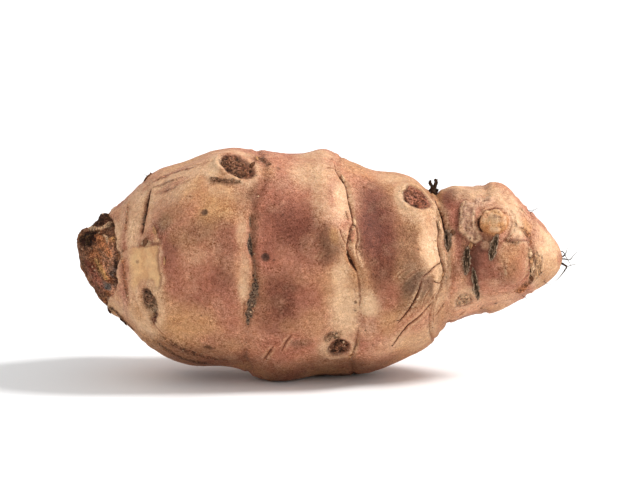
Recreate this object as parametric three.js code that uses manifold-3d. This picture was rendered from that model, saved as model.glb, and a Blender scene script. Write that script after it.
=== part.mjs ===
// A Jerusalem artichoke: one knobbly tuber lying on its side, stem scar at the left (-X) and
// growing tip at the right (+X), with the few small things that grow out of it and could be
// picked off by hand: fine rootlets at the tip, a stub of dry root in the neck and the dried
// scale leaves at the joints.
// Millimetres, +Z up. The origin is the middle of the bounding box, on the resting surface.
import * as THREE from "three";
import { mergeVertices } from "three/addons/utils/BufferGeometryUtils.js";
import Module from "manifold-3d";

const FULL_TURN = 2 * Math.PI;
const DEGREE = Math.PI / 180;

// Mesh fineness of the tuber: steps from end to end and steps round it.
const STEPS_ALONG = 58;
const STEPS_AROUND = 64;

// Gap kept between the tuber and the pieces that grow on it.
const GAP = 0.3;

// Cross-sections from the stem scar to the tip. "along" is the distance from the stem end,
// "low" and "high" are the heights of the underside and the top, "breadth" is the width from
// front to back and "aside" moves the middle of the section away from the front.
const SECTIONS = [
  { along: 0.0, low: 25.8, high: 25.8, breadth: 0.0, aside: 1.0 },
  { along: 0.5, low: 23.3, high: 28.0, breadth: 6.0, aside: 1.0 },
  { along: 1.4, low: 20.5, high: 29.1, breadth: 9.6, aside: 1.0 },
  { along: 3.2, low: 17.0, high: 30.0, breadth: 13.4, aside: 0.9 },
  { along: 6.5, low: 13.2, high: 32.4, breadth: 18.4, aside: 0.7 },
  { along: 9.5, low: 10.9, high: 34.8, breadth: 23.2, aside: 0.5 },
  { along: 13.0, low: 7.5, high: 38.3, breadth: 29.6, aside: 0.3 },
  { along: 16.5, low: 4.4, high: 40.2, breadth: 34.2, aside: 0.1 },
  { along: 21.0, low: 2.6, high: 42.3, breadth: 38.0, aside: -0.2 },
  { along: 26.0, low: 2.0, high: 44.2, breadth: 40.4, aside: -0.4 },
  { along: 31.0, low: 1.7, high: 45.2, breadth: 41.6, aside: -0.5 },
  { along: 36.0, low: 0.8, high: 44.9, breadth: 41.8, aside: -0.4 },
  { along: 40.5, low: 0.4, high: 43.7, breadth: 42.2, aside: -0.2 },
  { along: 45.0, low: 0.9, high: 43.0, breadth: 42.2, aside: 0.1 },
  { along: 49.0, low: 0.6, high: 44.2, breadth: 41.8, aside: 0.4 },
  { along: 54.0, low: 0.5, high: 42.3, breadth: 39.6, aside: 0.7 },
  { along: 58.0, low: 0.9, high: 40.7, breadth: 37.8, aside: 0.8 },
  { along: 62.0, low: 2.5, high: 39.8, breadth: 36.4, aside: 0.7 },
  { along: 66.0, low: 4.6, high: 38.8, breadth: 33.6, aside: 0.5 },
  { along: 69.5, low: 6.8, high: 36.7, breadth: 29.2, aside: 0.3 },
  { along: 73.0, low: 9.9, high: 37.0, breadth: 26.2, aside: 0.4 },
  { along: 78.0, low: 11.8, high: 37.4, breadth: 25.2, aside: 0.6 },
  { along: 82.0, low: 12.3, high: 37.8, breadth: 24.2, aside: 0.6 },
  { along: 85.5, low: 14.1, high: 36.2, breadth: 21.4, aside: 0.4 },
  { along: 89.0, low: 16.6, high: 32.1, breadth: 15.8, aside: 0.2 },
  { along: 92.5, low: 18.7, high: 28.2, breadth: 9.8, aside: 0.0 },
  { along: 94.4, low: 20.6, high: 25.6, breadth: 5.2, aside: 0.0 },
  { along: 95.1, low: 23.0, high: 23.0, breadth: 0.0, aside: 0.0 },
];

// The joints of the stem that the tuber is made of: a shallow groove runs round it at each.
// Each groove wanders along the tuber by "sway" as it goes round.
const RINGS = [
  { along: 7.8, sway: 0.5, phase: 0.4, depth: 0.35, width: 1.3 },
  { along: 14.2, sway: 1.4, phase: 2.8, depth: 0.45, width: 1.5 },
  { along: 34.2, sway: 0.8, phase: 0.6, depth: 0.95, width: 1.7 },
  { along: 53.0, sway: 1.2, phase: 3.6, depth: 0.8, width: 1.7 },
  { along: 70.9, sway: 0.9, phase: 3.2, depth: 1.5, width: 1.9 },
  { along: 79.3, sway: 0.7, phase: 1.1, depth: 0.3, width: 1.4 },
  { along: 88.0, sway: 0.5, phase: 2.0, depth: 0.35, width: 1.4 },
];

// Bud swellings (rise above 0) and hollows (below 0). "turn" is the angle round the tuber in
// degrees: 0 faces the front (-Y), 90 is the top, 180 the back and 270 the underside.
const SWELLINGS = [
  { along: 30.4, turn: 62, reach: 6.0, rise: 0.9 },
  { along: 50.0, turn: 20, reach: 5.6, rise: 1.5 },
  { along: 49.5, turn: 92, reach: 4.4, rise: 0.8 },
  { along: 66.0, turn: 58, reach: 5.2, rise: 1.5 },
  { along: 68.0, turn: -4, reach: 6.0, rise: 1.4 },
  { along: 58.3, turn: 38, reach: 4.6, rise: -0.9 },
  { along: 46.0, turn: -12, reach: 6.0, rise: -0.5 },
  { along: 51.0, turn: -42, reach: 4.4, rise: 0.7 },
  { along: 23.5, turn: 12, reach: 7.0, rise: 0.5 },
  { along: 14.6, turn: -18, reach: 3.2, rise: -0.6 },
  { along: 20.0, turn: -52, reach: 6.5, rise: 0.8 },
  { along: 81.4, turn: 32, reach: 2.5, rise: 1.4 },
  { along: 84.6, turn: -18, reach: 2.8, rise: 0.8 },
  { along: 82.4, turn: 92, reach: 3.0, rise: 0.6 },
  { along: 76.2, turn: -36, reach: 2.4, rise: 0.4 },
  { along: 28.5, turn: 168, reach: 5.6, rise: 1.6 },
  { along: 22.0, turn: 118, reach: 6.0, rise: 0.7 },
  { along: 47.0, turn: 148, reach: 6.2, rise: 1.3 },
  { along: 48.5, turn: 214, reach: 5.4, rise: 1.0 },
  { along: 64.5, turn: 172, reach: 5.8, rise: 1.5 },
  { along: 60.0, turn: 226, reach: 5.0, rise: 0.9 },
  { along: 40.0, turn: 186, reach: 5.5, rise: -0.6 },
  { along: 80.5, turn: 158, reach: 3.0, rise: 1.0 },
  { along: 77.5, turn: 232, reach: 3.0, rise: 0.8 },
  { along: 12.5, turn: 196, reach: 3.6, rise: -0.4 },
  // the two swellings that the tuber rests on
  { along: 38.8, turn: -78, reach: 6.6, rise: 1.7 },
  { along: 52.6, turn: -103, reach: 7.4, rise: 1.7 },
];

// Gentle overall unevenness: waves along and round the surface.
const WAVES = [
  { along: 0.23, around: 2, phase: 1.3, height: 0.3 },
  { along: 0.41, around: -3, phase: 0.2, height: 0.2 },
  { along: 0.68, around: 4, phase: 2.6, height: 0.12 },
];
// The unevenness fades out over this distance from each end.
const END_FADE = 5;

// Fine rootlets at the growing tip, from the skin outwards, as offsets from the tip.
const ROOTLET_THICKNESS = 0.3;
const ROOTLETS = [
  [[0.35, 0.4, 0.7], [0.75, 0.3, 1.3], [1.0, 0.5, 2.3]],
  [[0.4, -0.3, 0.1], [1.4, -0.5, 0.0], [2.1, -0.5, 0.8], [2.9, -0.8, 1.8]],
  [[0.15, -0.9, 1.4], [0.75, -1.4, 0.3], [1.5, -1.9, -0.9]],
  [[0.15, 0.7, -1.0], [1.2, 1.1, -1.5], [2.3, 1.0, -1.2], [3.4, 1.3, -1.4]],
  [[0.0, -0.6, -2.0], [0.35, -1.0, -2.6], [-0.4, -1.2, -3.3], [-1.4, -1.1, -4.1]],
];

// Dried scale leaves lying on the skin: middle, length, width, and how far they lean from
// lying straight round the tuber, in degrees.
const LEAF_THICKNESS = 0.4;
const SCALE_LEAVES = {
  scale_leaf_neck: { along: 71.9, turn: 26, length: 4.6, width: 1.3, lean: -5 },
  scale_leaf_head_upper: { along: 80.7, turn: 8, length: 4.6, width: 1.3, lean: 14 },
  scale_leaf_head_middle: { along: 75.5, turn: 1, length: 5.2, width: 1.4, lean: 2 },
  scale_leaf_head_lower: { along: 77.3, turn: -22, length: 6.8, width: 1.1, lean: -10 },
};

// Stub of dry root standing in the notch of the neck, with one side prong.
const STUB = { along: 69.3, turn: 86, height: 2.6, thickness: 0.9, prong: 1.5 };

const sectionPoints = (pick) =>
  new THREE.CatmullRomCurve3(SECTIONS.map((s) => new THREE.Vector3(...pick(s))));
// One curve through the sections' sizes and one through their middles, stepped together.
const girth = sectionPoints((s) => [s.along, (s.high - s.low) / 2, s.breadth / 2]);
const middle = sectionPoints((s) => [s.along, s.aside, (s.high + s.low) / 2]);

const bell = (distance, width) => Math.exp(-((distance / width) ** 2));

// Shortest signed angle from b to a.
const angleBetween = (a, b) => Math.atan2(Math.sin(a - b), Math.cos(a - b));

// Height of the knobbly surface above the plain section, where the section's radius is "radius".
function relief(along, turn, radius) {
  let height = 0;
  for (const ring of RINGS) {
    const wander = Math.sin(turn + ring.phase) + 0.4 * Math.sin(3 * turn + 2 * ring.phase);
    height -= ring.depth * bell(along - ring.along - ring.sway * wander, ring.width);
  }
  for (const s of SWELLINGS) {
    const across = radius * angleBetween(turn, s.turn * DEGREE);
    height += s.rise * bell(Math.hypot(along - s.along, across), s.reach);
  }
  for (const w of WAVES) height += w.height * Math.sin(w.along * along + w.around * turn + w.phase);
  const length = SECTIONS.at(-1).along;
  const fromEnd = Math.min(along, length - along);
  return height * THREE.MathUtils.smoothstep(fromEnd, 0, END_FADE);
}

// Point on the tuber at a share "run" of the way from the stem end to the tip, at angle "turn",
// standing "out" above the skin.
function surfacePoint(run, turn, out = 0) {
  const t = girth.getUtoTmapping(THREE.MathUtils.clamp(run, 0, 1));
  const size = girth.getPoint(t);
  const centre = middle.getPoint(t);
  const radius = Math.sqrt(size.y * size.z);
  const lift = relief(size.x, turn, radius) + out;
  return new THREE.Vector3(
    size.x,
    centre.y - (size.z + lift) * Math.cos(turn),
    centre.z + (size.y + lift) * Math.sin(turn),
  );
}

// The share of the way from the stem end at which the tuber is "along" millimetres long.
function runAt(along) {
  let low = 0;
  let high = 1;
  while (high - low > 1e-5) {
    const half = (low + high) / 2;
    if (girth.getPoint(girth.getUtoTmapping(half)).x < along) low = half;
    else high = half;
  }
  return low;
}

const skinMaterial = new THREE.MeshStandardMaterial({ color: 0xb98463, roughness: 0.62, metalness: 0 });
const leafMaterial = new THREE.MeshStandardMaterial({ color: 0x4a3a2c, roughness: 0.9, metalness: 0 });
const rootMaterial = new THREE.MeshStandardMaterial({ color: 0x5a4838, roughness: 0.85, metalness: 0 });

function named(name, geometry, material) {
  const mesh = new THREE.Mesh(geometry, material);
  mesh.name = name;
  return mesh;
}

// The tuber: a sphere's grid wrapped over the sections, pressed flat where it rests.
function makeTuber() {
  const skin = new THREE.SphereGeometry(1, STEPS_AROUND, STEPS_ALONG);
  const { position, uv } = skin.attributes;
  for (let i = 0; i < position.count; i++) {
    const p = surfacePoint(1 - uv.getY(i), uv.getX(i) * FULL_TURN);
    position.setXYZ(i, p.x, p.y, Math.max(p.z, 0));
  }
  return named("tuber", skin, skinMaterial);
}

// A six-sided tube along a smooth curve through the points.
function tube(points, thickness, steps) {
  const sides = 6;
  const corner = (i) => new THREE.Vector2(
    (thickness / 2) * Math.cos((i * FULL_TURN) / sides),
    (thickness / 2) * Math.sin((i * FULL_TURN) / sides),
  );
  const outline = new THREE.Shape(Array.from({ length: sides }, (_, i) => corner(i)));
  const extrudePath = new THREE.CatmullRomCurve3(points);
  return new THREE.ExtrudeGeometry(outline, { extrudePath, steps, bevelEnabled: false });
}

function makeRootlet(offsets, index) {
  const tip = surfacePoint(1, 0);
  const points = offsets.map((offset) => tip.clone().add(new THREE.Vector3(...offset)));
  return named(`tip_rootlet_${index + 1}`, tube(points, ROOTLET_THICKNESS, 8), rootMaterial);
}

// A thin pointed strip that follows the skin at a small gap.
function makeScaleLeaf(name, { along, turn, length, width, lean }) {
  const leaf = new THREE.BoxGeometry(width, length, LEAF_THICKNESS, 2, 6, 1);
  const { position } = leaf.attributes;
  const radius = girth.getPoint(girth.getUtoTmapping(runAt(along))).y;
  const leaning = new THREE.Matrix4().makeRotationZ(lean * DEGREE);
  const corner = new THREE.Vector3();
  for (let i = 0; i < position.count; i++) {
    corner.fromBufferAttribute(position, i);
    const out = GAP + LEAF_THICKNESS / 2 + corner.z;
    corner.x *= 1 - 0.7 * Math.abs((2 * corner.y) / length) ** 2;
    corner.setZ(0).applyMatrix4(leaning);
    const p = surfacePoint(runAt(along + corner.x), turn * DEGREE + corner.y / radius, out);
    position.setXYZ(i, p.x, p.y, p.z);
  }
  return named(name, leaf, leafMaterial);
}

const wasm = await Module();
wasm.setup();

function toSolid(geometry) {
  const bare = geometry.clone();
  bare.deleteAttribute("normal");
  bare.deleteAttribute("uv");
  const merged = mergeVertices(bare);
  const vertProperties = merged.attributes.position.array;
  const triVerts = new Uint32Array(merged.index.array);
  return new wasm.Manifold(new wasm.Mesh({ numProp: 3, vertProperties, triVerts }));
}

function toGeometry(solid) {
  const { vertProperties, triVerts } = solid.getMesh();
  return new THREE.BufferGeometry()
    .setAttribute("position", new THREE.BufferAttribute(vertProperties, 3))
    .setIndex(new THREE.BufferAttribute(triVerts, 1));
}

function makeRootStub() {
  const { along, turn, height, thickness, prong } = STUB;
  const foot = surfacePoint(runAt(along), turn * DEGREE, GAP + thickness / 2);
  const at = (dx, dy, dz) => foot.clone().add(new THREE.Vector3(dx, dy, dz));
  const fork = at(0, 0, height / 3);
  const stem = tube([foot, fork, at(0.5, 0, height)], thickness, 6);
  const side = tube([fork, at(-0.5, 0, 0.6 * height), at(-0.7, 0, height / 3 + prong)], 0.7 * thickness, 5);
  return named("neck_root_stub", toGeometry(toSolid(stem).add(toSolid(side))), rootMaterial);
}

const artichoke = new THREE.Group();
artichoke.add(
  makeTuber(),
  ...ROOTLETS.map(makeRootlet),
  ...Object.entries(SCALE_LEAVES).map(([name, leaf]) => makeScaleLeaf(name, leaf)),
  makeRootStub(),
);

// Move the whole thing so that the origin is in the middle of its footprint.
const box = new THREE.Box3().setFromObject(artichoke, true);
artichoke.position.set(-(box.min.x + box.max.x) / 2, -(box.min.y + box.max.y) / 2, -box.min.z);

export default artichoke;
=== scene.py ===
"""A Jerusalem artichoke lying on a pale table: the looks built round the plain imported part."""

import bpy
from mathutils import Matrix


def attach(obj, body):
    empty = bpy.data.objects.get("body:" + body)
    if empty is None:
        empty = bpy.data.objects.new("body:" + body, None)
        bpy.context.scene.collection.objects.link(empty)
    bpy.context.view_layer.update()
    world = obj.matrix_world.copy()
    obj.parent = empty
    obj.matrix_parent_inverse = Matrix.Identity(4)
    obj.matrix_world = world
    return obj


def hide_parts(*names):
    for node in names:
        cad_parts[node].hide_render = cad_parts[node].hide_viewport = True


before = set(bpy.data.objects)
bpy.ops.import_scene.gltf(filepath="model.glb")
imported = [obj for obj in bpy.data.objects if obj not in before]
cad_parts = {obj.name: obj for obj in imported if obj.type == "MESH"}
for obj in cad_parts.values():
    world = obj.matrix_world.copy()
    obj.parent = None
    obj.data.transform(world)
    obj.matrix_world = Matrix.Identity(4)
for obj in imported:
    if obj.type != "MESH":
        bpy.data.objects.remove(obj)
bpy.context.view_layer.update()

import itertools
import math

import bmesh
import bpy
import numpy as np
from mathutils import Vector
from mathutils.bvhtree import BVHTree
from mathutils.kdtree import KDTree

bl_info = {
    "name": "Jerusalem Artichoke",
    "version": (1, 0, 0),
    "blender": (4, 5, 0),
    "location": "View3D > Sidebar > Artichoke",
    "description": "Builds a knobbly tuber with corky eyes, split joints, dry leaves and rootlets",
    "category": "Add Mesh",
}

MM = 0.001
SEED = 11


def colour(text):
    """A six-digit sRGB hex colour as linear red, green and blue."""
    shares = [int(text[i:i + 2], 16) / 255 for i in (0, 2, 4)]
    return tuple(s / 12.92 if s < 0.04045 else ((s + 0.055) / 1.055) ** 2.4 for s in shares)


# ---------------------------------------------------------------- where things are on the tuber
# Every place is (along, turn): millimetres from the stem end, and degrees round the tuber
# (0 faces the front, 90 is the top, 180 the back, 270 the underside). Sizes are millimetres.

TINTS = {
    "cream": "d5ae89",
    "tan": "b5855e",
    "pink": "b67d61",
    "rose": "9e614c",
    "wine": "6c3828",
    "brown": "6e4933",
    "bark": "482e22",
    "black": "21140e",
    "grey": "68513d",
    "mould": "605a54",
    "orange": "b4724a",
    "ochre": "bf8d58",
    "flesh": "d5ac7b",
    "salmon": "d09675",
    "ash": "b58c74",
}

# Blotches of colour: (along, turn, reach along, reach round, tint, strength).
BLOTCHES = [
    # stem end and first lobe
    (12.6, 50, 3.4, 7.5, "cream", 0.6), (11.4, -4, 1.6, 10, "cream", 0.5),
    (11.6, 20, 1.6, 6, "cream", 0.4), (9.6, 26, 1.2, 9, "cream", 0.6), (9.8, -16, 1.3, 8, "pink", 0.7),
    (8.6, -42, 2.8, 3.6, "cream", 0.6), (10.4, 20, 0.8, 9, "rose", 0.5),
    (10.4, -20, 0.8, 9, "rose", 0.4), (14, -44, 2.4, 2.2, "cream", 0.9),
    (14.5, -34, 3, 2.6, "tan", 0.5), (20.5, 62, 6.5, 6.5, "cream", 0.72), (21, 72, 4, 1, "rose", 0.5),
    (19.5, 58, 3.6, 0.8, "rose", 0.5), (18.4, 32, 1.5, 2.2, "grey", 0.7),
    (26, 46, 5, 3.4, "ochre", 0.4), (27, 31, 4.2, 2.6, "ochre", 0.25), (26.6, 20, 6, 3, "brown", 0.5),
    (30.4, 17, 2.2, 3.6, "rose", 0.65), (19.6, 13, 1.6, 3.8, "wine", 0.6),
    (20.4, -2, 2.3, 4.5, "rose", 0.8), (25.2, 7, 3.8, 3, "pink", 0.7), (20, 36, 2.6, 2.6, "tan", 0.5),
    (24.6, 8, 2, 1.6, "cream", 0.3), (27, -9, 5.4, 4.6, "rose", 0.75),
    (29.6, -5, 2.4, 2.4, "wine", 0.4), (24.5, -15, 2.6, 2, "wine", 0.3),
    (23.5, -28, 5.8, 3.6, "tan", 0.75), (22, -31, 6, 2.6, "ochre", 0.3),
    (30.6, -21, 2.4, 4.4, "rose", 0.6), (29.6, -41, 4, 2.6, "brown", 0.22),
    # The brown at (24, -57) and (31.5, -58), with the wine at (23, -67) further down, darken the first
    # lobe towards the underside: painted shade over its brown scuffs.
    (24, -57, 8, 4.6, "brown", 0.5), (22, -52, 5.5, 2.6, "wine", 0.35), (31.5, -58, 3, 3, "brown", 0.5),
    (27.2, 60, 1.8, 5.2, "cream", 0.9), (30.6, 42, 3.2, 1.8, "cream", 0.25),
    (35, 47, 1.2, 3.4, "brown", 0.6), (37.9, 61, 1.5, 3, "tan", 0.5), (38.1, 3, 1.2, 3.2, "wine", 0.35),
    (35.6, 31, 0.9, 6.5, "brown", 0.65), (35.9, 6, 0.8, 5, "brown", 0.35),
    (31.5, 77, 4.2, 1.4, "cream", 0.6), (24.5, 88, 6, 4, "tan", 0.5), (33, 22, 0.9, 4, "cream", 0.6),
    (33.8, 4, 0.9, 3, "cream", 0.5), (33.2, 45, 1.8, 4.6, "brown", 0.42),
    (30.4, 51, 1.5, 1.8, "brown", 0.3), (28.6, 44, 1.6, 1.5, "cream", 0.4),
    (21.3, 22, 1.8, 1.8, "tan", 0.5), (17.4, -14, 1.4, 2, "brown", 0.3), (23, -67, 7, 3.2, "wine", 0.5),
    (30.2, 8, 2.2, 4.6, "brown", 0.35), (23.2, 15, 1.6, 1.8, "tan", 0.4),
    (32.9, -65, 1.5, 1.8, "tan", 0.6), (33.4, -7, 0.8, 2.6, "cream", 0.85),
    # second lobe
    (39.4, 50, 3.2, 3, "brown", 0.25), (40.5, 72, 4, 3, "pink", 0.5), (38, 38, 2.2, 5, "rose", 0.8),
    (41.8, 28, 5.4, 5, "wine", 0.72), (42, 27, 3, 2.8, "wine", 0.4), (37.6, 16, 1.8, 5, "rose", 0.8),
    (45.4, 21, 3.4, 4.6, "wine", 0.3), (50.2, 33, 1.6, 2.4, "cream", 0.5), (42, 8, 5, 2.6, "rose", 0.5),
    (40.6, -10, 4, 4.8, "wine", 0.85), (39.2, -24, 3.8, 3, "wine", 0.55),
    (45.4, -12, 2.4, 3.4, "rose", 0.65), (46.4, -26, 3, 3.4, "tan", 0.6),
    (40.5, -41, 4.6, 3.4, "rose", 0.3), (43.8, -38, 1.8, 1.2, "grey", 0.5),
    # The brown at (38, -62) and (48, -62) darkens the second lobe towards the underside: painted shade.
    (38, -62, 5, 4.4, "brown", 0.5), (48, -62, 9, 4.4, "brown", 0.6),
    (46.2, 62, 4.2, 4.6, "cream", 0.72), (47.8, 44, 1.6, 5.4, "cream", 0.6),
    (46.6, 82, 3.6, 2.6, "cream", 0.7), (36.2, -15, 0.9, 3, "wine", 0.25),
    (38.2, 16, 1.4, 2.8, "wine", 0.3), (41.8, -26, 1.8, 1.8, "tan", 0.4),
    # The wine at (42.5, -66) is painted shade on the underside, and the bark at (49, -85) on the next
    # line is a painted contact shadow where the tuber meets the table.
    (42.5, -66, 4.4, 3, "wine", 0.35), (49.8, -47, 2.4, 3.6, "brown", 0.55),
    (49, -85, 6, 2.6, "bark", 0.6), (51.7, 46, 1.5, 4.8, "cream", 0.95),
    # The cream at (51.7, 46) on the line above and at (53.4, 48) here is partly a painted highlight on
    # the second lobe's side that faces the light.
    (49.4, 18, 2.2, 3.6, "brown", 0.85), (53.4, 48, 0.9, 3.6, "cream", 0.6),
    (48.2, 10, 1.2, 1.4, "brown", 0.5), (50.4, 22, 1, 1.6, "ochre", 0.4),
    (51.9, 21, 0.9, 2, "grey", 0.3), (51.4, 1, 1.6, 2.6, "cream", 0.75),
    (52.2, -15, 2.6, 5, "cream", 0.98), (56.4, -12, 2.7, 2.7, "cream", 1),
    (52.4, -28, 2.8, 3.2, "cream", 0.85), (48.4, -42, 1.4, 3.4, "cream", 0.4),
    # third lobe
    (55, 76, 3.4, 3.6, "ochre", 0.28), (55.2, 58, 1.6, 3.6, "pink", 0.6),
    # The wine rows at along 55.6 to 59.4, turns 0 to 46, and the bark at (57.6, 36) are partly the third
    # lobe's purple and partly painted shade on its side turned from the light.
    (58, 46, 3.4, 6.6, "wine", 0.8), (58.8, 29, 4, 6, "wine", 0.95), (59.2, 13, 3.4, 5, "wine", 0.85),
    (57.6, 38, 1.8, 6, "wine", 0.6), (59.4, 0, 2.6, 3, "wine", 0.5), (55.6, 24, 1.2, 5, "wine", 0.7),
    (63.4, 56, 1.4, 4.2, "cream", 0.92), (62, 76, 3.4, 3, "cream", 0.5),
    (65.8, 42, 2.2, 1.8, "cream", 0.65), (64.4, 24, 2, 4.8, "brown", 0.55),
    (68.6, 20, 1.9, 5, "cream", 1), (70.2, 12, 1.2, 3, "cream", 0.8),
    (64.6, 11, 2.6, 1.8, "brown", 0.5), (66, -3, 2.9, 2.6, "grey", 0.95),
    (65.4, -2, 2.2, 1.8, "bark", 0.6), (69.4, -7, 1.2, 2.2, "grey", 0.6),
    (64.4, 3, 2, 2.2, "grey", 0.45), (68.6, -17, 1.6, 3, "grey", 0.35),
    (60.6, -8, 2.4, 3.2, "rose", 0.75), (64.6, -14, 2.6, 3, "brown", 0.45),
    (57, -25, 1.8, 1.9, "rose", 0.6), (60.4, -25, 2.2, 2.6, "tan", 0.75),
    (56.8, -28, 1.5, 2.6, "cream", 0.4), (64.4, 54, 1.2, 3, "cream", 0.2),
    (66, -5, 3.4, 4.6, "brown", 0.4), (54.7, 20, 1, 3, "brown", 0.5),
    (68.3, -41, 1.8, 2.6, "cream", 0.5), (68.4, 67, 1.4, 2, "brown", 0.35),
    (57.6, 36, 1.6, 5, "bark", 0.2), (67.4, -4, 1.8, 3, "grey", 0.45), (66, -31, 4, 3.6, "pink", 0.75),
    (56, -40, 2.6, 1.6, "rose", 0.45), (61.4, -43, 4, 2.8, "cream", 0.5), (67, -54, 3, 3, "cream", 0.5),
    # The brown at (57, -63) darkens the third lobe towards the underside: painted shade.
    (57, -63, 6, 4.6, "brown", 0.62), (69.6, 32, 0.8, 8, "cream", 0.8),
    (69.8, -14, 0.7, 5, "cream", 0.7), (71, -25, 1, 3, "cream", 0.6),
    # neck and head
    (73, 8, 1.8, 13, "cream", 0.75), (72.9, -4, 1.6, 9, "salmon", 0.9),
    (73.2, -18, 1.6, 6, "pink", 0.6), (71.8, -2, 0.8, 5, "cream", 0.85),
    (71.1, 40, 1.1, 2.4, "cream", 0.7), (74.1, 15, 0.8, 5, "rose", 0.85),
    (76.8, -29, 2, 2.8, "rose", 0.7), (79.3, -4, 1.4, 3, "wine", 0.6), (79.7, 18, 1.2, 1.5, "tan", 0.4),
    # The brown at (77, -73) darkens the head towards the underside: painted shade.
    (77, -73, 4.4, 2.8, "brown", 0.4), (72.9, 54, 1.8, 5.6, "rose", 0.95),
    # The rose at (72.9, 54) on the line above, the wine at (72.8, 58) and (72.6, 67), and the brown at
    # (74.4, 66) and (75.8, 66) are painted shade in the neck crease, over the skin's red.
    (72.8, 58, 1.4, 3.6, "wine", 0.6), (72.6, 67, 1.5, 2.6, "wine", 0.85),
    (73.3, 46, 0.9, 3, "rose", 0.8), (74, 33, 0.7, 3, "wine", 0.6), (74.4, 66, 1.2, 1.6, "brown", 0.4),
    (78.6, 72, 5, 4.2, "cream", 0.75), (77.5, 86, 4.6, 3, "cream", 0.55),
    (82.2, 84, 2, 1.8, "orange", 0.4), (84.2, 56, 2.4, 3.4, "cream", 0.85),
    (85, 30, 1.8, 3.2, "cream", 0.9), (87.2, 36, 1, 2.2, "ochre", 0.6),
    # The bark and brown at (71.9, 27), (75.4, 1), (77.1, -21), (77.7, 2), (78.4, 12) and (80.5, 8) are
    # painted shadow under and beside the dry leaves; the wine and brown round (77.3, 0) are the head's
    # red-brown with painted shade between the leaves.
    (78.4, 12, 1.9, 2.2, "bark", 0.6), (76.8, 3, 1.6, 4, "wine", 0.6), (77.7, -2, 2, 3.6, "wine", 0.85),
    (77, 0, 1.4, 2.6, "brown", 0.5), (77.6, -3, 1.5, 3.4, "wine", 0.75), (77.7, 2, 1, 2.2, "bark", 0.5),
    (80.6, -3, 1.6, 2.4, "rose", 0.6), (79.8, -19, 3.6, 3.4, "rose", 0.7),
    (80.6, -17, 2.4, 2.4, "brown", 0.25), (76.4, -17, 1, 3, "wine", 0.4),
    (83.8, 2, 2.6, 2.6, "tan", 0.7), (71.9, 27, 0.9, 2.6, "brown", 0.6), (75.4, 1, 1, 3, "bark", 0.7),
    (80.5, 8, 1, 2.8, "bark", 0.6), (77.1, -21, 0.7, 3.6, "bark", 0.6),
    (73.2, -4, 0.8, 2, "brown", 0.4), (85.6, -20, 1.8, 3, "rose", 0.4),
    (84.2, -11, 1.6, 2, "orange", 0.5), (84.5, -10, 0.9, 1.1, "brown", 0.45),
    (75.3, -37, 1.8, 2, "cream", 0.85), (81.4, -38, 4.6, 3.2, "pink", 0.8),
    (76.6, -50, 3, 3.4, "salmon", 0.7), (82.4, -52, 4, 2.6, "cream", 0.4),
    (86.3, -40, 1.4, 1.2, "orange", 0.9), (91.6, 12, 2.8, 8, "cream", 0.9),
    (90, -22, 1.8, 4, "cream", 0.6), (89.7, 36, 1.4, 2.6, "pink", 0.5),
    (83.4, -18, 1.6, 2.2, "brown", 0.35), (92, -30, 2.6, 4.6, "tan", 0.6),
    (75.8, 66, 1, 2.4, "brown", 0.4), (94.6, 0, 0.9, 3, "rose", 0.6),
    # back and underside
    (22, 140, 6, 6, "rose", 0.55), (20, 190, 4, 6, "wine", 0.5), (30.6, 190, 2, 9, "cream", 0.6),
    (24.5, 168, 1.8, 4.5, "cream", 0.7), (26, 225, 6, 6, "pink", 0.6), (24, 262, 7, 6, "brown", 0.4),
    (41.5, 140, 4.6, 6, "wine", 0.65), (40, 186, 4, 5.5, "rose", 0.6), (45, 205, 4, 4, "wine", 0.55),
    (50.6, 150, 1.8, 6, "cream", 0.8), (46, 108, 4.4, 4.6, "pink", 0.5),
    (51.6, 196, 1.6, 4.6, "cream", 0.6), (43, 250, 6, 6, "tan", 0.5), (57.6, 130, 2.6, 6, "rose", 0.7),
    (58, 165, 2.6, 6, "wine", 0.7), (61, 180, 1.4, 4.4, "cream", 0.7), (63, 215, 4, 5, "pink", 0.6),
    (67.6, 150, 1.8, 5, "cream", 0.6), (61, 262, 5, 5, "brown", 0.35),
    (73, 170, 1.4, 12, "orange", 0.45), (77.6, 140, 3, 4, "tan", 0.6), (78, 200, 3.4, 4.6, "wine", 0.5),
    (83.6, 190, 3, 4.6, "pink", 0.6), (79, 250, 4.4, 4, "pink", 0.6), (85.6, 130, 2, 3, "cream", 0.6),
]

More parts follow.
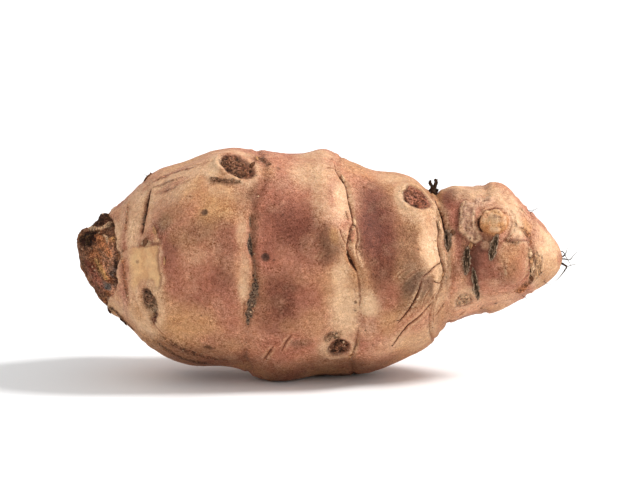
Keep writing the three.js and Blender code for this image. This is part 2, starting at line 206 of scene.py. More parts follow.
# Blotches on the broken stem scar, painted over everything else.
SCAR_BLOTCHES = [
    (5.6, -2, 3, 5, "brown", 0.9), (4.4, 8, 1.8, 2.2, "orange", 0.7), (5.4, -4, 1.1, 1.5, "ochre", 0.7),
    (6.6, -10, 1.3, 1.5, "orange", 0.7), (7.2, -36, 1.5, 2, "orange", 0.75),
    (2.6, 43, 2.1, 2.4, "black", 0.93), (4.6, 40, 1.1, 2, "black", 0.9),
    (5.4, 74, 2.1, 2.4, "bark", 0.95), (6.6, 60, 0.9, 1.8, "wine", 0.7),
    (7.4, 52, 0.7, 1.2, "grey", 0.8), (4.6, 110, 3, 4.4, "bark", 0.75),
    (2.9, -8, 1.3, 1.5, "wine", 0.95), (2, -24, 1, 1.6, "bark", 0.7), (4, -20, 1.1, 1.2, "wine", 0.55),
    (4.8, 38, 0.9, 1.1, "orange", 0.8), (6, 27, 0.9, 1.4, "orange", 0.95),
    (7.4, 15, 0.8, 1.4, "ochre", 0.9), (8, 30, 0.7, 1, "ochre", 0.8), (8.7, 24, 0.5, 0.9, "black", 0.9),
    (8.3, 16, 0.55, 1.4, "wine", 0.9), (8.5, 4, 0.6, 1.5, "black", 0.85),
    (7.7, -4, 0.9, 1.5, "mould", 0.7), (6.5, -25, 1.2, 1.4, "mould", 0.95),
    (8.3, -25, 0.9, 1.6, "mould", 0.85), (8.7, -14, 0.6, 2, "bark", 0.7),
    (3.6, -22, 1.8, 2.4, "rose", 0.55), (8.3, -36, 1.5, 3.8, "salmon", 0.85),
    (7.8, 20, 0.8, 2.6, "salmon", 0.55), (4.4, -42, 1.4, 1.6, "wine", 0.7),
    (5.4, -58, 2.2, 2.2, "brown", 0.85), (4.8, -33, 1.5, 2.6, "rose", 0.5),
    (7, 10, 1.5, 3.8, "salmon", 0.6), (4, 150, 3, 5, "bark", 0.8), (7, 180, 1.6, 4, "orange", 0.6),
    (4, 220, 3, 4, "black", 0.75), (7.4, 240, 1.4, 3, "mould", 0.7),
]

# Rotten parts of the stem scar, black and finely wrinkled: (along, turn, reach along, reach round).
ROTTEN = [
    (2.8, 46, 2.3, 2.9), (5.2, 78, 2, 2.2), (3.6, 216, 2.6, 3.4), (4.6, 126, 2, 2.6),
]

# Knots of the line that each joint's crease follows all the way round.
JOINTS = {
    "first": [(13.2, -80), (16.8, -50), (15.6, -20), (14.2, 10), (14.2, 36), (14.8, 54), (14.6, 70),
              (12.6, 95), (12.5, 120), (13.6, 150), (14.1, 180), (14, 210), (14.8, 240), (15.2, 265)],
    "second": [(33.9, -64), (33.3, -54), (33.8, -40), (34.4, -22), (35.5, -9), (35.7, 2), (35.2, 13),
               (34.8, 22), (34.9, 33), (35.7, 42), (36.8, 50), (37.2, 64), (36, 80), (35.2, 100),
               (34.8, 125), (34.2, 150), (33.5, 180), (33.4, 210), (33.7, 240), (33.8, 268)],
    "third": [(53.6, -54), (54.6, -36), (55.2, -12), (54.9, 3), (54, 10), (52.8, 16), (53.1, 24),
              (53.8, 32), (53.1, 47), (52.3, 58), (51, 66), (51, 80), (52, 100), (53, 125),
              (53.4, 150), (53.3, 180), (53.8, 210), (54.6, 240), (54.4, 270), (53.9, 290)],
    "shoulder": [(69.2, -60), (68.6, -40), (69, -19), (70.2, -13), (71, -4), (71, 4), (70.5, 15),
                 (70, 28), (70.3, 37), (69.7, 50), (69.2, 66), (69, 90), (69.2, 120), (69.8, 150),
                 (69.6, 185), (70.4, 220), (70.6, 260)],
    "neck": [(72.6, -70), (72.8, -40), (72.6, -15), (72.2, 5), (71.9, 20), (71.6, 34), (71.1, 46),
             (70.4, 60), (70.2, 78), (70.4, 100), (70.6, 125), (71, 160), (71, 190), (71.6, 225),
             (72.4, 260)],
    "head": [(79.6, -70), (78.2, -36), (77.2, -18), (76.4, -4), (76.6, 12), (77.8, 30), (78.6, 50),
             (79.8, 70), (79.4, 100), (78.8, 140), (79, 180), (79.8, 220), (80.2, 262)],
    "crown": [(88, -70), (87.6, -43), (88.2, -24), (88, -2), (87.9, 12), (88.4, 30), (88.9, 50),
              (88.6, 80), (88, 120), (87.6, 160), (87.8, 200), (88.4, 250)],
}
# How each crease is pressed in: (depth, width, height of the lips beside it, darkness of the painted
# shade in it).
CREASES = {
    "first": (0.2, 0.5, 0.1, 0.1),
    "second": (0.38, 0.5, 0.16, 0.35),
    "third": (0.36, 0.42, 0.14, 0.4),
    "shoulder": (0.42, 0.3, 0.16, 0.75),
    "neck": (0.42, 0.5, 0.2, 0.25),
    "head": (0.3, 0.5, 0.14, 0.2),
    "crown": (0.34, 0.45, 0.2, 0.35),
}

# Splits in the skin: (width, depth, darkness, knots from end to end).
SPLITS = [
    # third joint: one long crack that forks round a flap, then opens
    (0.22, 0.3, 0.75, [(50.2, 74), (50.9, 66), (52, 60), (52.6, 55), (53, 47), (53.6, 38), (53.9, 31)]),
    (0.3, 0.35, 0.7, [(53.8, 32), (53.3, 28), (53, 24), (52.6, 19), (52.6, 16)]),
    (0.75, 0.7, 0.8, [(52.6, 16.5), (53.1, 13), (53.8, 9.5), (54.5, 6)]),
    (0.18, 0.22, 0.6, [(53.9, 32), (54.4, 28), (54.6, 23), (54.3, 18), (54.7, 12)]),
    (0.22, 0.25, 0.45, [(54.5, 6), (55, 0), (55.2, -8), (55, -14)]),
    (0.26, 0.3, 0.45, [(54.9, -28), (54.5, -38), (53.9, -48), (53.2, -56)]),
    (0.24, 0.25, 0.5, [(50.2, 75), (51, 70)]),
    (0.2, 0.2, 0.5, [(48.6, 65.5), (49.6, 67.5), (50.5, 68)]),
    (0.22, 0.25, 0.55, [(51.2, 26), (51.6, 22), (52.2, 19)]),
    (0.2, 0.22, 0.55, [(52.4, 37.5), (52.9, 32.5)]),
    # neck
    (0.42, 0.6, 0.9, [(69.7, 66), (70.3, 58), (70.9, 48), (71.3, 38), (71.8, 31), (72, 24)]),
    (0.26, 0.35, 0.7, [(69.7, 46), (70.2, 38), (70, 28), (70.5, 15), (71, 4), (70.8, -5), (70.3, -12)]),
    (0.22, 0.3, 0.55, [(70.3, -12), (69.6, -19), (69.2, -30), (69.4, -42)]),
    # cracks that fan out below the grey patch
    (0.26, 0.35, 0.7, [(70.6, 13), (69.2, 8), (68.2, 4), (67, 1)]),
    (0.3, 0.5, 0.85, [(66.8, -1), (66, -9), (65.2, -14), (64.2, -19), (62.4, -25.5)]),
    (0.34, 0.5, 0.85, [(68.9, -19), (66.8, -25.5), (64.6, -30), (63.2, -34.5), (61.6, -42)]),
    (0.26, 0.3, 0.65, [(71.5, -31), (70.8, -34), (69.8, -36)]),
    (0.2, 0.25, 0.6, [(69, -2), (70, -4), (71, -4.5)]),
    (0.18, 0.2, 0.5, [(68.4, -8), (67.4, -13), (66.9, -19)]),
    (0.18, 0.2, 0.45, [(69.6, -12), (68.4, -18), (67.8, -23)]),
    (0.16, 0.15, 0.4, [(64.6, 8), (62.8, 5), (61.4, 1)]),
    (0.16, 0.15, 0.4, [(66.2, 6), (64, 2), (62.6, -3)]),
    # dashes in the pale eye of the neck
    (0.22, 0.2, 0.6, [(74.5, -34.5), (75.2, -35), (75.8, -36.5)]),
    (0.22, 0.2, 0.65, [(74.9, -38), (75.4, -39), (75.2, -41)]),
    (0.2, 0.2, 0.6, [(76.3, -34), (76.6, -37), (76.4, -39.5)]),
    # fine scratches
    (0.26, 0.3, 0.62, [(38.9, -39), (37.8, -46), (36.9, -52)]),
    (0.26, 0.3, 0.62, [(42.4, -31.5), (41.3, -36), (40.5, -42)]),
    (0.18, 0.2, 0.5, [(33.6, -13), (33.3, -22)]), (0.18, 0.2, 0.45, [(46.9, 9), (47.9, 13)]),
    (0.16, 0.18, 0.4, [(44.2, -36), (45.4, -37.5)]), (0.16, 0.15, 0.4, [(22.6, 44), (24, 41.5)]),
    (0.16, 0.15, 0.35, [(28.4, 22), (30.2, 24), (31.2, 23)]),
    # scuffs along the top and the lower edge of the first lobe
    (0.14, 0.1, 0.25, [(14.6, 74), (16.2, 72), (18.4, 74), (20.4, 73)]),
    (0.16, 0.12, 0.35, [(20.6, 56), (22.4, 55), (24.2, 56)]),
    (0.16, 0.14, 0.35, [(22.6, 71), (24.8, 67), (27, 65)]),
    (0.2, 0.25, 0.6, [(15.9, -33), (16.6, -38), (18.4, -42)]),
    (0.12, 0.1, 0.22, [(18, -44), (21, -50), (25.6, -56), (28.6, -60)]),
    (0.12, 0.1, 0.22, [(22, -45), (25, -51), (29, -58), (32, -64)]),
    (0.12, 0.1, 0.22, [(13, -52), (16, -54), (20, -62)]),
    # the groove beside the torn patch
    (0.6, 0.6, 0.9, [(15.2, 64), (14.9, 58), (14.6, 50), (14.4, 40), (14, 31), (13.9, 28)]),
    # head
    (0.26, 0.35, 0.6, [(73, -70), (74.4, -63), (75.8, -55)]),
    (0.22, 0.25, 0.45, [(83.9, 39), (84.3, 31), (83.7, 22), (82.4, 13)]),
    (0.2, 0.22, 0.4, [(84.9, 56), (87.2, 56), (89.4, 58)]),
    (0.18, 0.2, 0.4, [(85.8, 50), (88, 46), (89.8, 37)]),
    (0.16, 0.16, 0.35, [(82.9, 2), (82.6, -6), (83.4, -16)]),
    (0.16, 0.16, 0.35, [(80.8, -34), (82.6, -38), (84.4, -40)]),
    (0.22, 0.3, 0.7, [(82.6, 44), (80.9, 45), (79, 41), (77.9, 33), (78.1, 25)]),
    # back
    (0.3, 0.45, 0.8, [(52.4, 118), (53.2, 132), (53.5, 148), (53.3, 166)]),
    (0.3, 0.45, 0.75, [(62, 196), (64, 204), (66.6, 209)]),
    (0.3, 0.4, 0.75, [(60.6, 150), (63, 146), (65.4, 144), (67.6, 140)]),
    (0.26, 0.35, 0.6, [(34.6, 96), (35, 108), (34.8, 122)]),
    (0.24, 0.3, 0.6, [(42, 214), (43.6, 222), (44.2, 231)]),
    (0.22, 0.25, 0.5, [(22, 206), (24.4, 212), (26, 215)]),
    (0.36, 0.5, 0.85, [(70, 96), (70.3, 112), (70.8, 136), (71, 156)]),
]

# Crusty strips of old skin and scuffed cork: (width, height, tint, strength, knots).
CRUSTS = [
    (0.7, 0.26, "brown", 0.95, [(27.2, 51.5), (28.8, 48.5), (30.8, 48), (33, 50)]),
    (0.5, 0.2, "brown", 0.8, [(35.4, 77), (36.6, 73), (36.8, 68)]),
    (0.4, 0.16, "brown", 0.75, [(37.6, 67), (38.4, 65)]),
    (0.5, 0.07, "rose", 0.6, [(15.2, 71), (17.6, 71.5), (20.4, 70), (24.4, 66)]),
    (0.4, 0.06, "rose", 0.5, [(16, 64), (19, 62), (22, 61)]),
    (0.35, 0.06, "rose", 0.5, [(17, 56), (20, 55), (23.6, 54.5)]),
    (0.9, 0.07, "wine", 0.4, [(17.6, -43), (20.6, -48), (25.4, -54), (30.6, -60)]),
    (0.8, 0.06, "grey", 0.4, [(15.4, -52), (20.6, -58), (27.6, -66)]),
    (0.6, 0.14, "brown", 0.5, [(25.2, -44), (26.6, -44.5), (27.6, -46)]),
    (0.8, 0.16, "brown", 0.9, [(48.6, -38), (49.2, -34.5), (50.2, -34), (51.2, -37)]),
    (0.4, 0.22, "ochre", 0.6, [(55, -33), (54.6, -40), (53.8, -47), (53, -55)]),
    (0.5, 0.2, "ochre", 0.5, [(69.9, 58), (70.6, 50), (70.9, 42)]),
    (0.3, 0.16, "orange", 0.5, [(70.6, 30), (71.2, 18), (71.7, 6), (71.6, -6), (71.4, -18)]),
    (0.5, 0.4, "cream", 0.95, [(87.5, 13), (87.7, 6), (87.9, -4), (88.4, -12), (88.2, -20), (88.3, -31)]),
    (0.9, 0.14, "tan", 0.6, [(88.8, 8), (89.2, -4), (89.7, -14), (89.6, -24), (89, -38)]),
    (0.22, 0.1, "brown", 0.8, [(88.2, 6), (88.5, -2), (88.9, -10), (88.7, -20), (88.6, -30)]),
    (0.22, 0.1, "brown", 0.6, [(90, 4), (90.4, -6), (90.2, -18)]),
    (0.7, 0.24, "orange", 0.9, [(85.2, -38), (86.2, -41), (87.2, -39), (88, -37)]),
    (0.5, 0.2, "brown", 0.7, [(86, -36), (87.2, -34), (88.4, -38)]),
    (0.7, 0.2, "orange", 0.6, [(85.6, 29), (86.8, 27), (87.8, 20), (88.2, 14)]),
    (0.3, 0.14, "brown", 0.5, [(86.8, 34), (87.8, 27), (88.4, 20)]),
    (0.3, 0.26, "cream", 0.9, [(82.9, -7), (82.7, -12), (82.9, -17)]),
    (0.5, 0.08, "brown", 0.4, [(82.6, 16), (84.4, 12.5), (85.8, 14)]),
    (0.35, 0.24, "cream", 0.7, [(84.2, 46), (84.9, 34), (84.6, 24), (83.2, 15)]),
    (0.5, 0.2, "orange", 0.5, [(11, 66), (10.8, 46), (10.6, 30)]),
    (0.5, 0.2, "orange", 0.5, [(10.4, 22), (10.4, 0), (10.7, -18), (11.4, -32)]),
    (0.5, 0.24, "bark", 0.8, [(5.6, -52), (7, -57), (9.4, -60), (12.4, -60)]),
    (0.5, 0.2, "brown", 0.7, [(34.2, 150), (34, 165), (33.6, 180)]),
    (0.6, 0.3, "cream", 0.7, [(87.8, 130), (87.7, 160), (88, 196)]),
    (0.5, 0.2, "ochre", 0.5, [(70.2, 150), (70.3, 176), (70.7, 200)]),
    (0.5, 0.16, "wine", 0.5, [(56, 186), (57.2, 196), (57, 208)]),
]

# Strips of dark soil and old leaf stuck in the grooves: (width, strength, knots).
SOIL_STRIPS = [
    (0.5, 0.75, [(14.7, 50), (14.4, 42), (14, 35), (13.9, 29)]), (0.35, 0.7, [(34.7, 32), (34.8, 26)]),
    (0.85, 1, [(34.6, 22), (34.7, 16), (35.2, 11.5)]), (0.3, 0.6, [(35.4, 10), (35.7, 3), (35.6, -1)]),
    (1.7, 0.68, [(35.7, -1), (35.5, -8), (35, -14), (34.5, -20), (34.1, -28)]),
    (0.4, 0.55, [(33.7, -48), (33.5, -56), (34.4, -63), (35.2, -70)]),
    (0.8, 0.6, [(72, 37), (72.1, 29), (72.2, 19)]), (0.35, 0.55, [(35.6, 78), (36.6, 70), (37.6, 66)]),
    (1.1, 0.8, [(34.5, 126), (34.3, 140), (34, 156)]), (0.8, 0.75, [(33.5, 196), (33.5, 214)]),
    (0.7, 0.7, [(54.4, 228), (54.7, 244)]), (0.7, 0.8, [(12.6, 112), (13.3, 140)]),
    (0.8, 0.8, [(70.8, 150), (71, 186)]), (0.4, 0.6, [(87.8, 96), (87.7, 140)]),
]

# Corky scars where buds or roots broke off: (along, turn, half length along, half width round,
# lean in degrees, tint, roughness height).
SCARS = [
    (31.9, 61.5, 3, 3.5, 24, "brown", 0.6), (15.6, -21.5, 1.5, 2.5, 4, "grey", 0.55),
    (16.4, -32, 0.45, 1, -16, "bark", 0.25), (51.3, -43, 2, 2.3, 10, "brown", 0.6),
    (66.1, 55.5, 2.5, 2.6, 24, "rose", 0.45), (75.3, -37, 1.6, 1.7, 0, "cream", 0.28),
    (28.5, 168, 3.1, 2.5, -18, "wine", 0.42), (64.5, 172, 2.2, 2.3, 10, "rose", 0.36),
    (47, 148, 1.3, 1.4, 0, "brown", 0.3), (48.6, 224, 2.2, 1.8, 12, "bark", 0.4),
    (77.8, 236, 1.3, 1.3, 0, "ochre", 0.24), (12.5, 196, 1.4, 2, 0, "bark", 0.36),
]

# Small round pores that show singly: (along, turn, radius, tint, strength, height).
PORES = [
    (39.8, 63, 0.42, "brown", 0.7, 0.1), (26.1, 31, 0.66, "bark", 0.85, 0.12),
    (37.5, 11, 0.8, "bark", 0.95, 0.06), (35.9, 26, 0.3, "brown", 0.7, 0.08),
    (54.3, -12, 0.3, "bark", 0.8, 0.05), (54.2, -17, 0.26, "bark", 0.7, 0.05),
    (12.9, 6, 0.35, "brown", 0.6, 0.05), (26.4, -45, 0.8, "brown", 0.5, 0.12),
    (81.6, -55, 0.35, "bark", 0.8, 0.06), (55.2, 82, 0.35, "bark", 0.8, 0.06),
]

# Patches whose outer skin has gone, and thin raised strips of old skin: (step up or down, tint,
# strength, wrinkle, side whose edge is sharp in degrees, outline). Side 0 faces the tip.
SKIN_PATCHES = [
    (-0.25, "flesh", 0.8, 0, 25, [
        (14.6, 21), (16, 19.6), (17.6, 20), (17.6, 15), (17.4, 9), (17.7, 2), (18.1, -3), (17.4, -9),
        (16.6, -11), (16, -6), (14.4, -9), (13.2, -17), (12.3, -26), (11.4, -14), (11, 4), (11.6, 19),
        (13.2, 18)]),
    (0.16, "grey", 0.8, 0.5, -90, [(14.9, 27.5), (13.7, 19.5), (15, 18.4), (16.1, 18.8)]),
    (0.18, "orange", 0.35, 0.3, 0, [
        (14.9, 29), (16.1, 33), (17, 26), (17.8, 20), (16.4, 20), (15.4, 24)]),
    (0.12, "tan", 0.5, 0.5, 180, [
        (53.9, 31), (54.4, 28), (54.5, 22), (54.2, 17.6), (53, 17.8), (53.3, 26)]),
    (0.38, "ash", 0.75, 1, 200, [
        (74.5, 53), (74.2, 42), (74.1, 30), (74.8, 24), (75.9, 18), (77.2, 13), (78.3, 17), (77.8, 25),
        (77.2, 33), (77.4, 41), (78.4, 46), (80, 49), (81.4, 55), (81.6, 61), (79.6, 66), (78, 63),
        (76.8, 55), (75.6, 56)]),
    (0.06, "tan", 0.3, 0.5, 30, [
        (82.6, 13), (87.2, 15), (87.4, -4), (87.4, -22), (85.4, -30), (82.6, -26), (81.4, -12),
        (81.6, 4)]),
    (-0.2, "cream", 0.75, 0, 60, [(72.6, 132), (75, 138), (76.4, 150), (75.2, 166), (72.8, 160)]),
    (-0.22, "flesh", 0.8, 0, 0, [(16, 150), (19.4, 154), (20.2, 168), (18, 178), (15.4, 170)]),
]

# Soft swellings over buds under the skin: (along, turn, reach along, reach round, height).
SWELLINGS = [
    (82.4, 84, 2.6, 3.4, 0.75), (83.8, -12, 2.2, 2.6, 0.35), (49.4, 18, 2.2, 3.2, 0.3),
    (78.6, 215, 2.6, 3.2, 0.5),
]

# Knobs: round bud stubs that stand up with a groove round them:
# (along, turn, half length, half width, height, tint).
KNOBS = [
    (80.7, 31, 3, 2.6, 0.85, "cream"),
    (80.5, 158, 1.9, 1.8, 0.7, "ochre"),
]

# The stem scar reaches this far along the tuber, at these turns.
SCAR_EDGE = [(-90, 6.4), (-60, 6.2), (-45, 6.6), (-33, 8.6), (-15, 9.3), (5, 9.3), (26, 9), (51, 8.7),
             (72, 7.6), (110, 7.4), (150, 8), (190, 8.6), (230, 8.2), (270, 7)]
# Ridges of stringy flesh across the stem scar: (width, height, tint, knots).
SCAR_RIDGES = [
    (1.5, 1, "bark", [(4.6, 80), (5.6, 75), (6.6, 70)]),
    (0.5, 0.8, "cream", [(2.2, 76), (3.2, 67), (4.4, 56), (5.6, 51), (7, 54), (7.8, 60)]),
    (0.8, 0.5, "orange", [(4.6, 44), (5.6, 33), (6.8, 20), (8.2, 8)]),
    (0.3, 0.4, "cream", [(6, 40), (7, 32), (7.6, 24)]),
    (0.7, 0.35, "ochre", [(4, 12), (5.2, 2), (6.2, -8), (7.2, -18)]),
    (0.5, 0.3, "brown", [(3.6, -30), (5.4, -38), (7.6, -46)]),
    (0.6, 0.5, "bark", [(2.6, 120), (5, 136), (7.2, 150)]),
    (0.6, 0.5, "brown", [(3, 200), (5.4, 214), (7.6, 222)]),
]

# Dry scale leaves left on the skin: (along, turn, length, width, lean in degrees). Each name is
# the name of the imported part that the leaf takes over.
LEAVES = {
    "scale_leaf_neck": (71.9, 27, 4.6, 1.3, -5),
    "scale_leaf_head_upper": (80.7, 8, 5.2, 1.5, 14),
    "scale_leaf_head_middle": (75.5, 1, 5.4, 1.5, 2),
    "scale_leaf_head_lower": (77.3, -22, 7.2, 1.15, -10),
}
# Small flaps of torn skin and bits of old leaf: (along, turn, length, width, lean, lift, tint).
FLAPS = [
    (14.7, 21, 1.6, 1, 20, 0.3, "brown"), (16.6, 28, 1.8, 0.7, -12, 0.25, "tan"),
    (18.6, 9, 1.6, 0.5, 4, 0.2, "tan"), (14.3, 87, 2.4, 1, 30, 0.35, "brown"),
    (53.8, 24, 2.4, 0.7, 8, 0.2, "pink"), (54.1, 33, 1.6, 0.6, -6, 0.3, "cream"),
    (52.1, 62, 1.6, 0.5, -20, 0.3, "cream"), (70.4, 42, 2, 0.5, -10, 0.25, "cream"),
    (71, -1, 1.8, 0.45, 6, 0.2, "tan"), (72.2, 20, 1.8, 0.9, 8, 0.3, "grey"),
    (72.9, 30, 1.4, 0.8, -14, 0.3, "brown"), (76.3, 14, 1.3, 0.9, 12, 0.3, "tan"),
    (75, 17, 1, 0.8, -8, 0.25, "pink"), (88, 3, 1.5, 0.7, 10, 0.35, "cream"),
    (88.2, -8, 1.2, 0.8, -12, 0.3, "tan"), (88.5, -18, 1.5, 0.7, 6, 0.35, "cream"),
    (88.4, -32, 1.4, 0.6, -10, 0.3, "brown"), (34.9, 66, 1.2, 0.8, 24, 0.4, "brown"),
    (35.6, 72, 1.4, 0.5, -12, 0.35, "tan"), (53.4, -50, 1.3, 0.5, 10, 0.3, "tan"),
    (6.2, -68, 2.2, 1, 60, 0.4, "bark"), (9.6, -66, 1.8, 0.9, 50, 0.4, "bark"),
    (53.4, 142, 2.2, 0.7, -8, 0.3, "tan"), (70.9, 130, 2, 0.8, 10, 0.3, "brown"),
    (34.2, 160, 1.8, 0.7, -10, 0.3, "bark"), (88, 150, 1.6, 0.8, 12, 0.35, "cream"),
    (75.8, 190, 4.4, 1.2, 6, 0.2, "bark"), (79.6, 224, 3.6, 1, -12, 0.2, "bark"),
    (71.6, 214, 3.4, 1.1, 8, 0.2, "bark"),
]

# Rootlets at the growing tip, as steps from the tip point along, across and up. Each one takes
# over a packed rootlet.
ROOTLETS = {
    "tip_rootlet_1": (0.38, [(-0.3, 0.3, 0.3), (0.35, 0.4, 0.7), (0.75, 0.3, 1.3), (1, 0.5, 2.3)]),
    "tip_rootlet_2": (0.3, [(-0.3, -0.2, 0.1), (0.4, -0.3, 0.1), (1.4, -0.5, 0), (2.1, -0.5, 0.8),
                             (2.9, -0.8, 1.8)]),
    "tip_rootlet_3": (0.22, [(-0.3, -0.6, 1.7), (0.15, -0.9, 1.4), (0.75, -1.4, 0.3), (1.5, -1.9, -0.9)]),
    "tip_rootlet_4": (0.24, [(-0.4, 0.5, -0.8), (0.15, 0.7, -1), (1.2, 1.1, -1.5), (2.3, 1, -1.2),
                             (3.4, 1.3, -1.4)]),
    "tip_rootlet_5": (0.5, [(-0.6, -0.3, -0.5), (0.3, -0.6, -1), (0.75, -0.8, -1.4), (0.2, -1, -2.3),
                            (-0.6, -1.2, -3.3), (-1.6, -1.1, -4.3)]),
}
# Finer hairs elsewhere: (along, turn, way along, way round and way out).
HAIRS = [
    (88.6, 84, 0.5, 0.2, 0.9), (88, 80, 0.9, -0.2, 0.5), (86.7, -56, 0.9, -0.4, 0.6),
    (91, -46, 1, -0.6, 0.5), (93.5, 150, 0.9, 0.4, 0.7), (93, 200, 1, -0.4, 0.8),
    (70.3, 95, 0.2, 0.6, 1), (14.2, 88, -0.4, 0.3, 0.9), (71.8, 206, 0.2, 0.7, 0.8),
    (34, 176, -0.4, 0.5, 0.8),
]
# The stub of dry root in the notch of the neck: (along, turn) of its foot, then its prongs as
# (thickness at foot, thickness at end, steps along, across and up).
STUB_FOOT = (69.6, 84)
STUB_PRONGS = [
    (0.95, 0.62, [(0.3, 0, -0.6), (0.1, -0.1, 0.4), (-0.15, 0, 1.2), (-0.5, 0, 1.9), (-0.6, 0, 2.5)]),
    (0.8, 0.7, [(0.1, -0.1, 0.3), (0.3, 0, 1), (0.55, 0.1, 1.9), (0.7, 0.2, 2.7)]),
    (0.7, 0.5, [(0.3, 0, -0.4), (0.7, 0, 0.2), (0.95, 0, 0.8)]),
    (0.7, 0.4, [(0.2, 0, -0.4), (-0.3, -0.1, 0.3), (-0.8, -0.1, 0.7)]),
]


# ---------------------------------------------------------------------------- noise and shapes

def hashed(cells, seed):
    """A steady number from 0 to 1 for each whole-numbered cell."""
    x, y, z = np.moveaxis(cells.astype(np.int64), -1, 0)
    mixed = (x * 374761393 + y * 668265263 + z * 1440662683 + seed * 974634777) & 0x7FFFFFFF
    mixed = ((mixed ^ (mixed >> 13)) * 1274126177) & 0x7FFFFFFF
    return ((mixed ^ (mixed >> 16)) & 0xFFFF) / 0xFFFF


def soft_noise(points, size, seed=0):
    """Smooth noise from -1 to 1 with lumps about size across."""
    scaled = points / size + 31.7 * (seed + 1)
    base = np.floor(scaled)
    part = scaled - base
    part = part * part * (3 - 2 * part)
    total = np.zeros(len(points))
    for corner in itertools.product((0, 1), repeat=3):
        weight = np.prod(np.where(corner, part, 1 - part), axis=-1)
        total += weight * hashed(base + corner, seed)
    return 2 * total - 1


TURNED = np.array([[0.36, 0.48, -0.8], [-0.8, 0.6, 0.0], [0.48, 0.64, 0.6]])


def layered_noise(points, size, layers=3, seed=0):
    """Rough noise: each layer is half as wide and half as strong as the one before."""
    total = np.zeros(len(points))
    for layer in range(layers):
        total += soft_noise(points, size, seed + layer) * 0.5 ** layer
        points = points @ TURNED
        size /= 2
    return total / 1.5


def ridged(points, size, layers=2, seed=0):
    """Wandering ridges: 1 on a crest, 0 in the hollows between."""
    return np.clip(1 - 2.6 * np.abs(layered_noise(points, size, layers, seed)), 0, 1)


def bell(distance, width):
    return np.exp(-((distance / width) ** 2))


def rise(value, low, high):
    """0 below low, 1 above high and smooth between them."""
    share = np.clip((value - low) / (high - low), 0, 1)
    return share * share * (3 - 2 * share)


def turn_between(a, b):
    """Shortest signed way round from b to a, in degrees."""
    return (a - b + 180) % 360 - 180


def rounded(knots, closed, per_leg):
    """Points along a smooth curve through the knots."""
    knots = np.array(knots, float)
    if closed:
        lap = np.array([0.0, 360.0])
        knots = np.vstack([knots[-1] - lap, knots, knots[0] + lap, knots[1] + lap])
    else:
        knots = np.vstack([2 * knots[0] - knots[1], knots, 2 * knots[-1] - knots[-2]])
    shares = np.linspace(0, 1, per_leg, endpoint=False)[:, None]
    legs = []
    for before, start, end, after in zip(knots, knots[1:], knots[2:], knots[3:]):
        bend = 2 * before - 5 * start + 4 * end - after
        twist = 3 * (start - end) + after - before
        legs.append(start + 0.5 * shares * (end - before + shares * (bend + shares * twist)))
    return np.vstack(legs + [knots[-2:-1]])


def spots_of(mesh):
    """The vertices of a mesh in millimetres."""
    return np.array([v.co for v in mesh.vertices]) / MM


class Surface:
    """The plain tuber in millimetres, and where a place (along, turn) lies on it."""

    STATIONS = 40
    HALF_SLICE = 1.7

    def __init__(self, mesh):
        points = spots_of(mesh)
        self.start, end = points[:, 0].min(), points[:, 0].max()
        self.stations = np.linspace(self.start + 1, end - 1, self.STATIONS)
        slices = [points[np.abs(points[:, 0] - x) < self.HALF_SLICE] for x in self.stations]
        self.middles = np.array([(s.min(0) + s.max(0)) / 2 for s in slices])
        self.radii = np.array([np.prod(s.max(0)[1:] - s.min(0)[1:]) ** 0.5 / 2 for s in slices])
        self.tree = BVHTree.FromPolygons(points.tolist(), [p.vertices[:] for p in mesh.polygons])

    def middle(self, x):
        return [np.interp(x, self.stations, self.middles[:, i]) for i in (1, 2)]

    def arc(self, along):
        """The way round the tuber for each degree, in millimetres."""
        return math.radians(1) * float(np.interp(self.start + along, self.stations, self.radii))

    def places(self, points):
        """How far along and how far round each point is."""
        y, z = self.middle(points[:, 0])
        turn = np.degrees(np.arctan2(points[:, 2] - z, y - points[:, 1]))
        return points[:, 0] - self.start, turn

    def spot(self, along, turn, out=0.0):
        """The point at (along, turn), standing out above the surface, and the way out there."""
        x = self.start + along
        y, z = self.middle(x)
        ray = Vector((0, -math.cos(math.radians(turn)), math.sin(math.radians(turn))))
        found, normal, _, _ = self.tree.ray_cast(Vector((x, y, z)), ray)
        if found is None:
            raise RuntimeError(f"there is no skin at {along} mm, {turn} degrees")
        return found + normal * out, normal

    def route(self, knots, closed=False):
        """Points on the surface along a smooth line through the knots."""
        return np.array([self.spot(*knot)[0] for knot in rounded(knots, closed, 10)])


def within(u, v, reach):
    """Which vertices lie in a square round a place."""
    return np.flatnonzero((np.abs(u) < reach) & (np.abs(v) < reach))


def near_route(points, route, reach):
    """Distance from each point to a route, up to reach, and the share of the way along it."""
    distance = np.full(len(points), float(reach))
    share = np.zeros(len(points))
    inside = (points > route.min(0) - reach).all(1) & (points < route.max(0) + reach).all(1)
    close = np.flatnonzero(inside)
    here = points[close]
    best, best_share = distance[close], share[close]
    for i, (start, end) in enumerate(zip(route, route[1:])):
        leg = end - start
        part = np.clip((here - start) @ leg / (leg @ leg + 1e-12), 0, 1)
        gap = np.linalg.norm(here - start - part[:, None] * leg, axis=1)
        closer = gap < best
        best[closer] = gap[closer]
        best_share[closer] = (i + part[closer]) / (len(route) - 1)
    distance[close], share[close] = best, best_share
    return distance, share


